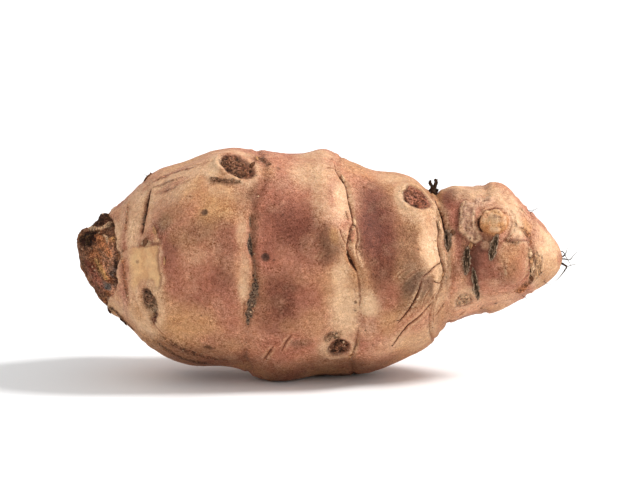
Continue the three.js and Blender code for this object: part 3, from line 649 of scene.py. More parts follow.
class Skin:
    """Every vertex of the fine tuber: where it is, how far it moves and how it is painted."""

    MASKS = ("cork", "soil", "split", "flesh", "wrinkle", "flaky")

    def __init__(self, surface, points, settings):
        self.surface, self.points = surface, points
        self.relief = settings.relief
        self.tints = {name: np.array(getattr(settings, name)) for name in TINTS}
        self.along, self.turn = surface.places(points)
        self.height = np.zeros(len(points))
        self.tint = np.zeros((len(points), 3))
        self.masks = {name: np.zeros(len(points)) for name in self.MASKS}
        self.known_noise = {}
        sway = [layered_noise(points, 2.6, 3, SEED + 3 * i) for i in range(3)]
        self.frayed = points + 0.3 * np.stack(sway, -1)

    def noise(self, size, layers=2, make=layered_noise):
        """Noise over all the vertices, worked out once for each size."""
        key = (size, layers, make)
        if key not in self.known_noise:
            self.known_noise[key] = make(self.points, size, layers, SEED + int(40 * size))
        return self.known_noise[key]

    def lift(self, amount):
        """Moves the vertices out by so many millimetres, or in where the amount is below 0."""
        self.height += self.relief * amount

    def paint(self, tint, amount):
        self.tint += (self.tints[tint] - self.tint) * np.clip(amount, 0, 1)[:, None]

    def mark(self, mask, amount):
        self.masks[mask] = np.maximum(self.masks[mask], np.clip(amount, 0, 1))

    def offsets(self, along, turn, frayed=True):
        """Distance of each vertex along and round from a place, in millimetres."""
        at_along, at_turn = self.surface.places(self.frayed) if frayed else (self.along, self.turn)
        return at_along - along, turn_between(at_turn, turn) * self.surface.arc(along)

    def rings(self, along, turn, half_long, half_wide, frayed=True):
        """Distance of each vertex from the middle of an upright oval whose rim is at 1."""
        u, v = self.offsets(along, turn, frayed)
        return np.hypot(u / half_long, v / half_wide)

    def oval(self, along, turn, half_long, half_wide, lean=0.0):
        """How far inside an oval each vertex is, in millimetres: below 0 outside it."""
        u, v = self.offsets(along, turn)
        tilt = math.radians(lean)
        a = (u * math.cos(tilt) + v * math.sin(tilt)) / half_long
        b = (v * math.cos(tilt) - u * math.sin(tilt)) / half_wide
        return (1 - np.hypot(a, b)) * min(half_long, half_wide)

    def strand(self, knots, fullness, thinnest, points=None):
        """Distance to a route through the knots, and its thickness: up to 1, less at its ends."""
        points = self.frayed if points is None else points
        gap, share = near_route(points, self.surface.route(knots), 3)
        return gap, np.clip(fullness * share * (1 - share), thinnest, 1)

    def outline(self, corners):
        """How far inside an outline each vertex is, in millimetres: below 0 outside it."""
        corners = np.array(corners, float)
        along, turn = corners.mean(0)
        u, v = self.offsets(along, turn)
        sideways = turn_between(corners[:, 1], turn) * self.surface.arc(along)
        shape = np.stack([corners[:, 0] - along, sideways], -1)
        reach = np.abs(shape).max() + 2
        close = within(u, v, reach)
        depth = np.full(len(u), -2.0)
        here = np.stack([u[close], v[close], np.zeros(len(close))], -1)
        loop = np.vstack([shape, shape[:1]])
        gap, _ = near_route(here, np.column_stack([loop, np.zeros(len(loop))]), 2 * reach)
        inside = np.zeros(len(close), bool)
        for (u0, v0), (u1, v1) in zip(loop, loop[1:]):
            crosses = (v0 > here[:, 1]) != (v1 > here[:, 1])
            inside ^= crosses & (here[:, 0] < (u1 - u0) * (here[:, 1] - v0) / (v1 - v0 + 1e-12) + u0)
        depth[close] = np.where(inside, gap, -gap)
        return depth


# ------------------------------------------------------------------------- shaping the skin

def blotch(skin):
    """The skin's colour: drifting tan, rose and cream all over, then the blotches by name, some of them
    painted shade and painted highlight.
    """
    drift = layered_noise(skin.points, 13, 3, SEED + 100)
    skin.tint[:] = skin.tints["tan"]
    skin.paint("pink", rise(drift, -0.35, 0.25))
    skin.paint("rose", 0.6 * rise(drift, 0.1, 0.6))
    for *oval, tint, strength in BLOTCHES:
        skin.paint(tint, strength * rise(1.5 - skin.rings(*oval), 0, 1.05))
    head = 0.35 + 0.5 * rise(skin.along, 70, 76)
    skin.paint("cream", 0.3 * head * rise(skin.noise(2.4, 3), 0.1, 0.6))
    skin.paint("rose", 0.45 * head * rise(-skin.noise(2.4, 3), 0.1, 0.6))
    skin.paint("brown", 0.3 * head * rise(skin.noise(1.1, 2), 0.25, 0.6))


def press_joints(skin):
    """A crease with soft lips and fine wrinkles all the way round each joint."""
    for name, knots in JOINTS.items():
        depth, width, lips, dark = CREASES[name]
        gap, _ = near_route(skin.frayed, skin.surface.route(knots, closed=True), 6)
        vary = 0.6 + 0.5 * skin.noise(5, 1)
        skin.lift(-depth * vary * bell(gap, width))
        skin.lift(lips * bell(gap - 2.2 * width, 1.2 * width))
        # Painted shade in the crease: wine along it and the split mark at its bottom.
        skin.paint("wine", 0.35 * dark * bell(gap, 2.2 * width))
        skin.mark("split", 0.7 * dark * vary * bell(gap, 0.4 * width))
        skin.mark("wrinkle", 0.6 * bell(gap, 2.6))
        skin.mark("flaky", 0.25 * bell(gap, 0.9))


def tear_patches(skin):
    """Bare patches below the skin's level and strips of old skin above it, with torn edges."""
    for step, tint, strength, wrinkle, sharp_side, corners in SKIN_PATCHES:
        depth = skin.outline(corners) + 0.2 * skin.noise(1.2, 2)
        u, v = skin.offsets(*np.mean(corners, axis=0))
        facing = np.cos(np.arctan2(v, u) - math.radians(sharp_side))
        sharp = 0.15 + 0.85 * rise(facing, -0.4, 0.4)
        inside = rise(depth, -0.08, 0.16 + 1.3 * (1 - sharp))
        way = np.sign(step)
        skin.lift(step * inside)
        skin.lift(0.4 * abs(step) * sharp * bell(depth + way * 0.35, 0.3))
        skin.paint(tint, strength * inside)
        # Painted light at the sharp edge: a shadow line in wine on the low side, a highlight in cream on
        # the high side, and painted shade from the split mark at the edge's foot.
        skin.paint("wine", 0.65 * sharp * bell(depth + way * 0.25, 0.3))
        skin.paint("cream", 0.5 * sharp * bell(depth - way * 0.3, 0.3))
        skin.mark("split", (0.5 if step < 0 else 0.4) * sharp * bell(depth, 0.12))
        skin.mark("flaky", 0.8 * sharp * bell(depth, 0.35))
        if step < 0:
            skin.mark("flesh", inside)
            skin.masks["wrinkle"] *= 1 - inside
        skin.mark("wrinkle", wrinkle * inside)


def lay_crusts(skin):
    """Raised crumbly strips, dark between their crests."""
    crests = skin.noise(0.8, 2, ridged)
    for width, height, tint, strength, knots in CRUSTS:
        gap, thick = skin.strand(knots, 6, 0.1)
        edge = width * thick ** 0.5 * (1 + 0.5 * skin.noise(1.1, 2)) - gap
        inside = rise(edge, -0.15, 0.3)
        skin.lift(inside * height * (0.25 + 1.1 * crests))
        skin.paint(tint, strength * inside * (0.6 + 0.4 * crests))
        # Bark between the crests is painted shade in the crust's hollows.
        skin.paint("bark", 0.7 * strength * inside * rise(0.35 - crests, 0, 0.3))
        skin.paint("brown", 0.3 * strength * bell(edge, 0.16))
        skin.mark("cork", 0.55 * inside)
        skin.mark("flaky", 0.4 * inside)


def lay_soil(skin):
    """Strips of soil that sit a little below the skin."""
    for width, strength, knots in SOIL_STRIPS:
        gap, thick = skin.strand(knots, 4, 0.15)
        edge = 0.55 * width * thick ** 0.5 * (1 + 0.6 * skin.noise(1.1, 2)) - gap
        amount = strength * rise(edge, -0.3, 0.3)
        skin.mark("soil", amount)
        skin.mark("flaky", 0.5 * amount)
        skin.paint("brown", 0.5 * strength * rise(edge, -0.6, 0))
        skin.lift(-0.3 * amount)
        skin.lift(0.2 * amount * skin.noise(0.6, 2))


def curled_crests(skin, u, v, reach):
    """Ridges that curl round a middle, like the folds of a walnut: 1 on a crest."""
    close = within(u, v, reach)
    away = np.hypot(u[close], v[close]) + 1e-6
    layers = np.stack([1.3 * away, 1.8 * u[close] / away, 1.8 * v[close] / away], -1)
    curled, wandering = ridged(layers, 0.75, 2, SEED), ridged(skin.points[close], 0.95, 2, SEED)
    crests = np.zeros(len(u))
    crests[close] = 0.45 * curled + 0.55 * wandering
    return crests


def raise_scars(skin):
    """Sunk corky eyes with a raised pale rim and walnut-like folds inside."""
    for along, turn, half_long, half_wide, lean, tint, rough in SCARS:
        crests = curled_crests(skin, *skin.offsets(along, turn), max(half_long, half_wide) + 1)
        depth = skin.oval(along, turn, half_long, half_wide, lean)
        depth += 0.35 * skin.noise(1.2, 2) + 0.3 * skin.noise(2.4, 3)
        inside = rise(depth, -0.1, 0.25)
        skin.lift(inside * rough * (1.2 * crests - 0.8 + 0.5 * skin.noise(1.2, 2)))
        skin.lift(0.6 * rough * bell(depth + 0.6, 0.5))
        skin.lift(-0.4 * rough * bell(depth, 0.2))
        skin.paint("cream", 0.5 * bell(depth + 0.9, 0.7))
        skin.paint(tint, 0.92 * inside)
        skin.paint("wine", 0.35 * inside * rise(skin.noise(1.2, 2), 0.0, 0.5))
        # Pink on the fold crests is a painted highlight, and the hollow colour between them is painted
        # shade over the dark cork; the bark ring at the rim is painted shade in the groove round the eye.
        skin.paint("pink", 0.65 * inside * rise(crests, 0.55, 0.95))
        hollow = "black" if rough > 0.3 else "rose"
        skin.paint(hollow, min(1.5 * rough, 0.85) * inside * rise(0.46 - crests, 0, 0.3))
        skin.paint("bark", 0.5 * bell(depth, 0.2))
        skin.mark("cork", 0.56 * inside)
        skin.mark("flaky", 0.3 * inside)


def raise_knobs(skin):
    """Soft swellings, then round knobs with a groove that is deepest towards the stem end."""
    for *oval, height in SWELLINGS:
        skin.lift(height * bell(skin.rings(*oval, frayed=False), 1))
    for along, turn, half_long, half_wide, height, tint in KNOBS:
        u, v = skin.offsets(along, turn)
        depth = skin.oval(along, turn, half_long, half_wide) + 0.22 * skin.noise(1.2, 2)
        top = rise(depth, 0, 1.2)
        shade = rise(v - u, -2, 2)
        lumps = skin.noise(0.9, 2)
        skin.lift(height * top)
        skin.lift(0.24 * top * lumps + 0.16 * top * skin.noise(0.8, 2, ridged))
        skin.lift(-0.55 * bell(depth, 0.3) * (0.3 + 0.7 * shade))
        skin.paint("ochre", 0.8 * rise(depth, -0.2, 0.3))
        skin.paint("orange", 0.5 * bell(depth - 0.4, 0.6))
        skin.paint(tint, 0.8 * rise(depth, 0.3, 0.9) * rise(lumps, -0.5, 0.3))
        skin.paint("orange", 0.5 * top * rise(-skin.noise(1.1, 2), 0.1, 0.5))
        skin.paint("brown", 0.6 * top * rise(-skin.noise(0.6, 2), 0.2, 0.5))
        # The dark line in the groove, strongest towards the stem end and where the turn is greater, is
        # painted shade.
        skin.mark("split", 0.85 * bell(depth, 0.2) * shade)
        skin.mark("cork", 0.35 * top)
        skin.mark("flaky", 0.4 * bell(depth, 0.5))


def dot_pores(skin):
    for along, turn, radius, tint, strength, height in PORES:
        gap = skin.rings(along, turn, 1, 1, frayed=False)
        skin.lift(height * (bell(gap - radius, 0.4 * radius) - bell(gap, 0.6 * radius)))
        skin.paint(tint, strength * rise(radius - gap, -0.15, 0.15))


def break_stem_end(skin):
    """The broken stem scar: lumps, seams, rotten folds and ridges inside a ragged rim."""
    turns, edges = zip(*SCAR_EDGE)
    edge = np.interp(skin.turn, turns, edges, period=360)
    depth = edge - skin.along + 1.1 * skin.noise(2.4, 3) + 0.4 * skin.noise(0.9, 2)
    inside = rise(depth, -0.15, 0.3)
    rotten = np.max([rise(1.1 - skin.rings(*oval), 0, 0.3) for oval in ROTTEN], axis=0)
    folds = skin.noise(1.0, 2, ridged)
    seams = rise(skin.noise(2.9, 3, ridged), 0.82, 1)
    lumps = 0.9 * skin.noise(2.4, 3) + 0.35 * skin.noise(0.9, 2) - 0.5 * seams
    lumps += rotten * (0.8 * folds - 0.3)
    skin.lift(inside * 0.6 * lumps)
    skin.lift(0.45 * bell(depth + 0.4, 0.5))
    skin.lift(-0.5 * bell(depth - 0.3, 0.3))
    skin.paint("cream", 0.5 * bell(depth + 0.35, 0.35))
    skin.paint("brown", 0.8 * inside)
    for *oval, tint, strength in SCAR_BLOTCHES:
        ragged = skin.rings(*oval) + 0.35 * skin.noise(0.9, 2)
        skin.paint(tint, strength * inside * rise(1.05 - ragged, 0, 0.4))
    skin.paint("orange", 0.4 * inside * (1 - rotten) * rise(skin.noise(2.4, 3), 0.0, 0.5))
    skin.paint("ochre", 0.3 * inside * rotten * rise(folds, 0.75, 1))
    for width, height, tint, knots in SCAR_RIDGES:
        gap, thick = skin.strand(knots, 6, 0)
        ridge = bell(gap, width) * thick
        skin.lift(height * ridge)
        skin.paint(tint, 0.9 * rise(ridge, 0.35, 0.7))
    skin.mark("cork", 0.6 * inside)
    skin.mark("flaky", 0.3 * inside)
    # The split marks darken the seams, the hollows between the rotten folds and the drop inside the rim:
    # painted shade in these hollows.
    skin.mark("split", inside * np.maximum(0.55 * seams, 0.8 * rotten * rise(0.4 - folds, 0, 0.4)))
    skin.mark("split", 0.55 * bell(depth - 0.1, 0.2) * rise(skin.noise(2.4, 3), -0.3, 0.2))
    band = bell(skin.along - edge - 1.2, 1.1)
    streak = rise(layered_noise(skin.points * [1.6, 0.5, 0.5], 1.0, 2, SEED + 83), 0.0, 0.5)
    skin.paint("rose", 0.6 * band * streak)


def crinkle(skin):
    """Unevenness all over, fine wrinkles across the joints and on the strips of old skin."""
    skin.lift(0.18 * soft_noise(skin.points, 6.5, SEED + 90))
    skin.lift(0.09 * skin.noise(2.4, 3))
    skin.lift(0.04 * skin.noise(0.9, 2))
    head = rise(skin.along, 70, 76)
    skin.lift(head * (0.12 * skin.noise(2.4, 3) + 0.08 * skin.noise(1.1, 2)))
    folds = ridged(skin.frayed * [1, 0.5, 0.5], 0.5, 2, SEED + 93)
    creased = skin.masks["wrinkle"]
    puckered = rise(creased, 0.65, 0.95)
    skin.lift((0.2 * folds - 0.06) * creased ** 1.5)
    # Cream on the fold crests is a painted highlight and brown between them is painted shade.
    skin.paint("cream", 0.5 * puckered * rise(folds, 0.5, 0.9))
    skin.paint("brown", 0.5 * puckered * rise(0.4 - folds, 0, 0.35))


def cut_splits(skin):
    """Dark splits that thin out at both ends, between slightly raised pale lips."""
    for width, depth, dark, knots in SPLITS:
        gap, thick = skin.strand(knots, 4, 0.02, skin.points)
        slim = thick ** 0.5 * (0.8 + 0.5 * skin.noise(1.1, 2))
        gap = np.abs(gap + 0.1 * skin.noise(0.7, 2) * slim)
        core = bell(gap, 0.5 * width * slim + 0.07) * (gap < 2)
        lip = bell(gap - 1.4 * width, 0.9 * width)
        skin.lift(-depth * slim * core)
        skin.lift(0.2 * depth * slim * lip)
        skin.paint("cream", 0.7 * dark * slim * bell(gap - 1.9 * width, 0.9 * width))
        skin.paint("orange", 0.4 * dark * bell(gap, 1.3 * width * slim + 0.1) * (gap < 2))
        skin.paint("wine", 0.7 * dark * bell(gap, 0.7 * width * slim + 0.08) * (gap < 2))
        # The split mark darkens the core: painted shade in the split, over the orange and wine of its
        # dried inside.
        skin.mark("split", dark * core)
        skin.mark("flaky", 0.6 * dark * bell(gap, 0.5))


# The steps that shape and paint the skin, in order.
SKIN_STEPS = (
    blotch, press_joints, tear_patches, lay_crusts, lay_soil, raise_scars, raise_knobs, dot_pores,
    break_stem_end, crinkle, cut_splits,
)


# ----------------------------------------------------------------------------- the tuber mesh

def baked(thing):
    """The mesh of an object with its modifiers in it."""
    graph = bpy.context.evaluated_depsgraph_get()
    graph.update()
    return bpy.data.meshes.new_from_object(thing.evaluated_get(graph))


def modified(name, mesh, kind, **settings):
    """The mesh that one modifier makes of another mesh."""
    stand_in = bpy.data.objects.new(name, mesh)
    bpy.context.scene.collection.objects.link(stand_in)
    modifier = stand_in.modifiers.new(name, kind)
    for setting, value in settings.items():
        setattr(modifier, setting, value)
    result = baked(stand_in)
    bpy.data.objects.remove(stand_in)
    return result


def plain_tuber():
    """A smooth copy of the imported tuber, in metres."""
    shape = bmesh.new()
    shape.from_mesh(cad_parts["tuber"].data)
    bmesh.ops.remove_doubles(shape, verts=shape.verts, dist=1e-6)
    bmesh.ops.join_triangles(
        shape, faces=shape.faces, angle_face_threshold=math.pi, angle_shape_threshold=math.pi
    )
    mesh = bpy.data.meshes.new("smooth tuber")
    shape.to_mesh(mesh)
    shape.free()
    return modified("smooth tuber", mesh, "SUBSURF", levels=2, render_levels=2)


def detail_tree(surface):
    """Places along lines that need a fine mesh: every split, soil strip, crust and torn edge, and the
    creases of four joints.
    """
    spots = []
    for knots in [row[-1] for row in SPLITS + SOIL_STRIPS + CRUSTS]:
        spots.extend(surface.route(knots))
    for name in ("third", "shoulder", "neck", "crown"):
        spots.extend(surface.route(JOINTS[name], closed=True))
    for *_, corners in SKIN_PATCHES:
        spots.extend(surface.route(corners + corners[:1]))
    tree = KDTree(len(spots))
    for i, spot in enumerate(spots):
        tree.insert(spot, i)
    tree.balance()
    return tree


# Round areas that need a fine mesh besides the scars, knobs and pores: (along, turn, reach).
FINE_AREAS = [(1.5, 20, 8.5), (77.4, 40, 4)]
# Lengths of the skin's edges: on a line of detail, in a fine area, what is added well away from
# a line or an area, and the length under which an edge is never split.
LINE_EDGE, AREA_EDGE, LINE_SPARE, AREA_SPARE, SHORTEST = 0.24, 0.3, 0.46, 0.38, 0.3
# A line's fine stretch, how far past it and past an area the edges grow, and how much too long
# an edge has to be.
LINE_REACH, LINE_FADE, AREA_FADE, TOO_LONG = 0.35, 1, 1.1, 1.3


def refine(mesh, surface):
    """Splits the long edges of a mesh, in metres, where the skin has fine detail."""
    tree = detail_tree(surface)
    rows = [(s[0], s[1], max(s[2], s[3])) for s in SCARS + KNOBS]
    rows += [row[:3] for row in PORES] + FINE_AREAS
    areas = [(surface.spot(along, turn)[0], reach) for along, turn, reach in rows]
    shape = bmesh.new()
    shape.from_mesh(mesh)
    for _ in range(2):
        bmesh.ops.triangulate(shape, faces=shape.faces)
        long_edges = []
        for edge in shape.edges:
            a, b = (v.co / MM for v in edge.verts)
            length, centre = (b - a).length, (a + b) / 2
            if length < SHORTEST:
                continue
            from_line = max(tree.find(centre)[2] - LINE_REACH, 0)
            from_area = max(min((centre - c).length - reach for c, reach in areas), 0)
            by_line = LINE_EDGE + LINE_SPARE * min(from_line / LINE_FADE, 1)
            by_area = AREA_EDGE + AREA_SPARE * min(from_area / AREA_FADE, 1)
            if length > TOO_LONG * min(by_line, by_area):
                long_edges.append(edge)
        bmesh.ops.subdivide_edges(shape, edges=long_edges, cuts=1, use_grid_fill=False)
    bmesh.ops.triangulate(shape, faces=shape.faces)
    shape.to_mesh(mesh)
    shape.free()
    mesh.update()


def build_skin(settings):
    """The finished mesh of the tuber: shaped, painted and nowhere below the table."""
    mesh = plain_tuber()
    surface = Surface(mesh)
    refine(mesh, surface)
    skin = Skin(surface, spots_of(mesh), settings)
    for step in SKIN_STEPS:
        step(skin)
    normals = np.array([n.vector for n in mesh.vertex_normals])
    moved = skin.points + normals * skin.height[:, None]
    moved[:, 2] = np.maximum(moved[:, 2], 0)
    mesh.vertices.foreach_set("co", (moved * MM).ravel())
    store(mesh, tint=skin.tint, **skin.masks)
    mesh.update()
    mesh.shade_smooth()
    return mesh


def store(mesh, **attributes):
    """Keeps a number or a colour for each vertex in the mesh, where the materials read them."""
    for name, values in attributes.items():
        values = np.asarray(values, dtype=float)
        if values.ndim == 1:
            mesh.attributes.new(name, "FLOAT", "POINT").data.foreach_set("value", values)
        else:
            colours = np.column_stack([values, np.ones(len(values))])
            mesh.attributes.new(name, "FLOAT_COLOR", "POINT").data.foreach_set("color", colours.ravel())


# ---------------------------------------------------------------------------------- materials

class Wiring:
    """Short ways to add and wire nodes."""

    def __init__(self, tree):
        self.tree = tree

    def add(self, kind, inputs=(), **settings):
        node = self.tree.nodes.new(kind)
        for name, value in settings.items():
            setattr(node, name, value)
        for socket, value in dict(inputs).items():
            self.feed(node.inputs[socket], value)
        return node

    def feed(self, socket, value):
        if isinstance(value, bpy.types.NodeSocket):
            self.tree.links.new(value, socket)
        elif isinstance(value, (tuple, list)) and socket.type == "RGBA":
            socket.default_value = (*value, 1)
        else:
            socket.default_value = value

    def math(self, operation, *values):
        return self.add("ShaderNodeMath", dict(enumerate(values)), operation=operation).outputs[0]

    def plus(self, a, b):
        return self.math("ADD", a, b)

    def minus(self, a, b):
        return self.math("SUBTRACT", a, b)

    def times(self, a, b):
        return self.math("MULTIPLY", a, b)

    def mix(self, share, a, b, blend="MIX"):
        inputs = {0: share, 6: a, 7: b}
        return self.add("ShaderNodeMix", inputs, data_type="RGBA", blend_type=blend).outputs[2]

    def shaded(self, base, *shades):
        """A colour times one shade, or times a shade each for red, green and blue."""
        red, green, blue = shades if len(shades) == 3 else shades * 3
        shade = self.add("ShaderNodeCombineColor", {0: red, 1: green, 2: blue}).outputs[0]
        return self.mix(1.0, base, shade, "MULTIPLY")

    def grade(self, value, low, high, to_low=0.0, to_high=1.0):
        inputs = {0: value, 1: low, 2: high, 3: to_low, 4: to_high}
        return self.add("ShaderNodeMapRange", inputs, interpolation_type="SMOOTHSTEP").outputs[0]

    def noise(self, place, size, detail=2.0, rough=0.5):
        inputs = {"Vector": place, "Scale": 1 / (size * MM), "Detail": detail, "Roughness": rough}
        return self.add("ShaderNodeTexNoise", inputs).outputs[0]

    def stretched(self, place, *scale):
        return self.add("ShaderNodeMapping", {"Vector": place, "Scale": scale}).outputs[0]

    def attribute(self, name, output="Fac"):
        return self.add("ShaderNodeAttribute", attribute_name=name).outputs[output]

    def place(self):
        return self.add("ShaderNodeTexCoord").outputs["Object"]

    def use(self, group, place, **inputs):
        """The outputs of a shared shader group whose inputs are fed by name."""
        return self.add("ShaderNodeGroup", {"Place": place, **inputs}, node_tree=group()).outputs


def shader_group(name, outputs, **inputs):
    """Makes a wiring function into one that gives its node group, built once."""
    def wrap(wire):
        def built():
            known = bpy.data.node_groups.get(name)
            if known:
                return known
            tree = bpy.data.node_groups.new(name, "ShaderNodeTree")
            tree.interface.new_socket("Place", in_out="INPUT", socket_type="NodeSocketVector")
            for label, value in inputs.items():
                socket = tree.interface.new_socket(label, in_out="INPUT", socket_type="NodeSocketFloat")
                socket.default_value = value
            for label in outputs:
                tree.interface.new_socket(label, in_out="OUTPUT", socket_type="NodeSocketFloat")
            wires = Wiring(tree)
            given = wires.add("NodeGroupInput").outputs
            results = wire(wires, *[given[label] for label in ("Place", *inputs)])
            made = wires.add("NodeGroupOutput").inputs
            for label, result in zip(outputs, results):
                wires.feed(made[label], result)
            return tree
        return built
    return wrap


@shader_group("fine grain", ["Shade", "Height"], Contrast=0.5)
def grain_group(wires, place, contrast):
    """Fine stipple of dry skin: a shade round 1 and a height."""
    stipple = wires.noise(place, 0.26, 2, 0.65)
    pebble = wires.noise(place, 0.7, 3, 0.65)
    both = wires.plus(wires.times(stipple, 0.6), wires.times(pebble, 0.4))
    drift = wires.grade(wires.noise(place, 3.5, 2), 0.35, 0.65, 4.2, 6.8)
    shade = wires.times(wires.minus(both, 0.5), wires.times(contrast, drift))
    return wires.plus(shade, 1), both


@shader_group("ragged edge", ["Mask"], Mask=0.0, Raggedness=0.5, Softness=0.1)
def ragged_group(wires, place, mask, raggedness, softness):
    """Turns a soft mask into one with a ragged edge."""
    fray = wires.minus(wires.noise(place, 0.5, 4, 0.65), 0.5)
    pushed = wires.math("MULTIPLY_ADD", fray, raggedness, mask)
    return [wires.grade(pushed, wires.minus(0.5, softness), wires.plus(0.5, softness))]


@shader_group("crumbly cork", ["Shade", "Height"])
def crumble_group(wires, place):
    """Crumbly cork: pale wandering crests over dark hollows, as a shade and a height; the shade follows
    the height, a painted highlight on the crests and painted shade in the hollows.
    """
    wander = wires.math("ABSOLUTE", wires.minus(wires.noise(place, 0.75, 3, 0.6), 0.5))
    crest = wires.grade(wander, 0, 0.1, 1, 0)
    speck = wires.noise(place, 0.35, 3, 0.7)
    height = wires.plus(wires.times(crest, 0.6), wires.times(speck, 0.4))
    return wires.grade(height, 0.15, 0.85, 0.45, 1.6), height


@shader_group("dry fibres", ["Shade", "Height"], Contrast=0.6)
def fibre_group(wires, place, contrast):
    """Lengthwise fibres of dry leaf and root: a shade and a height."""
    fibres = wires.noise(wires.stretched(place, 3, 0.7, 0.7), 0.7, 4, 0.7)
    shade = wires.times(wires.minus(fibres, 0.5), contrast)
    return wires.math("MULTIPLY_ADD", shade, 3, 1), fibres


def material(name):
    """Makes a wiring function into one that gives its finished material, built once."""
    def wrap(wire):
        def built(settings=None):
            made = bpy.data.materials.get(name)
            if made:
                return made
            made = bpy.data.materials.new(name)
            made.use_nodes = True
            shader = made.node_tree.nodes["Principled BSDF"]
            shader.inputs["Specular IOR Level"].default_value = 0.08
            wire(Wiring(made.node_tree), shader, settings)
            return made
        return built
    return wrap


def finish_surface(wires, shader, base, roughness, height, reach):
    """Feeds a shader its colour, its roughness and bumps from a height times a reach in mm."""
    wires.feed(shader.inputs["Base Color"], base)
    wires.feed(shader.inputs["Roughness"], roughness)
    bump = wires.add("ShaderNodeBump", {"Height": height, "Distance": reach * MM})
    wires.feed(shader.inputs["Normal"], bump.outputs[0])


def mottled(wires, place, tint):
    """Skin colour that drifts from pale to rosy, with fine broken threads wandering over it."""
    mottle = wires.noise(place, 3.2, 3, 0.6)
    freckle = wires.noise(place, 1.3, 4, 0.6)
    rosy, pale, brown = (
        wires.mix(1.0, tint, shade, "MULTIPLY")
        for shade in ((0.84, 0.66, 0.58), (1.2, 1.2, 1.16), (0.62, 0.5, 0.42))
    )
    base = wires.mix(wires.grade(mottle, 0.45, 0.68, 0, 0.5), tint, rosy)
    base = wires.mix(wires.grade(freckle, 0.46, 0.7, 0, 0.7), base, pale)
    wander = wires.math("ABSOLUTE", wires.minus(wires.noise(place, 1.1, 3, 0.65), 0.5))
    thread = wires.times(wires.grade(wander, 0, 0.02, 1, 0), wires.grade(mottle, 0.4, 0.62, 0.05, 0.4))
    return wires.mix(thread, base, brown), freckle


def pin_pricks(wires, place):
    """A mask of small round pores, in about half of the cells of a loose pattern."""
    cells = wires.add("ShaderNodeTexVoronoi", {"Vector": place, "Scale": 1 / (1.7 * MM)}).outputs
    chosen = wires.add("ShaderNodeSeparateColor", {0: cells["Color"]}).outputs[0]
    size = wires.grade(chosen, 0.55, 1, 0.0, 0.11)
    return wires.grade(wires.minus(size, cells["Distance"]), -0.03, 0.03)


@material("tuber skin")
def skin_material(wires, shader, settings):
    """The painted skin: mottle, grain and pores, then cork, soil and the dark of the splits and creases:
    painted shade in these recesses.
    """
    place = wires.place()
    tint = wires.attribute("tint", "Color")
    cork, soil, split, flesh, wrinkle, _ = (wires.attribute(name) for name in Skin.MASKS)
    grain = wires.use(grain_group, place, Contrast=settings.grain)
    cork = wires.use(ragged_group, place, Mask=cork, Raggedness=0.5)["Mask"]
    soiled = wires.use(ragged_group, place, Mask=soil, Raggedness=1.5, Softness=0.2)["Mask"]
    crumbs = wires.use(crumble_group, place)
    base, freckle = mottled(wires, place, tint)
    # the grain is calmer on pale skin and where the skin is bare
    value = wires.add("ShaderNodeRGBToBW", {0: tint}).outputs[0]
    bare = wires.minus(1.0, wires.times(flesh, 0.6))
    calm = wires.times(bare, wires.grade(value, 0.18, 0.45, 1.25, 0.62))
    strength = wires.times(wires.minus(grain["Shade"], 1), calm)
    base = wires.shaded(base, *[wires.plus(wires.times(strength, s), 1) for s in (0.9, 1.15, 1.4)])
    prick = pin_pricks(wires, place)
    base = wires.mix(wires.times(prick, 0.55), base, settings.bark[:])
    # Cork takes the crumbs' shade: painted shade in its hollows and a painted highlight on its crests.
    base = wires.mix(cork, base, wires.shaded(base, crumbs["Shade"]))
    dusty = wires.math("MULTIPLY_ADD", soil, -0.22, wires.noise(place, 0.32, 3, 0.7))
    dirt = wires.mix(wires.grade(dusty, 0.24, 0.52), settings.soil_dark[:], settings.soil_pale[:])
    base = wires.mix(soiled, base, dirt)
    # The split mask darkens splits, creases, grooves, seams and torn edges towards the inside colour of a
    # split: painted shade in these recesses.
    shadowed = wires.grade(split, 0.05, 0.8, 0, 0.5)
    opened = wires.grade(split, 0.36, 0.62, 0, 0.95)
    base = wires.mix(wires.math("MAXIMUM", shadowed, opened), base, settings.split_dark[:])
    smooth = wires.plus(0.58, wires.times(wires.minus(freckle, 0.5), 0.3))
    matt = wires.math("MAXIMUM", cork, wires.math("MAXIMUM", soiled, split))
    # heights in millimetres
    folds = wires.noise(wires.stretched(place, 0.4, 1, 1), 0.45, 3, 0.6)
    folds = wires.times(folds, wires.times(wrinkle, 0.3))
    corky = wires.times(wires.times(crumbs["Height"], cork), 0.35)
    height = wires.plus(wires.times(grain["Height"], wires.times(calm, 0.2)), folds)
    height = wires.minus(wires.plus(height, corky), wires.times(prick, 0.05))
    finish_surface(wires, shader, base, wires.plus(smooth, wires.times(matt, 0.4)), height, 1)
    shader.inputs["Subsurface Weight"].default_value = 0.1
    shader.inputs["Subsurface Radius"].default_value = (0.9 * MM, 0.4 * MM, 0.2 * MM)
    shader.inputs["Subsurface Scale"].default_value = 1.0
    shader.inputs["Specular IOR Level"].default_value = 0.18


def finish_dry(wires, shader, base, fibres, contrast, roughness, reach):
    """Finishes dead tissue: fibres and grain over its colour, and bumps along the fibres."""
    grain = wires.use(grain_group, wires.place(), Contrast=contrast)
    base = wires.shaded(base, wires.times(fibres["Shade"], grain["Shade"]))
    rough = wires.grade(grain["Height"], 0.3, 0.7, *roughness)
    finish_surface(wires, shader, base, rough, fibres["Height"], reach)


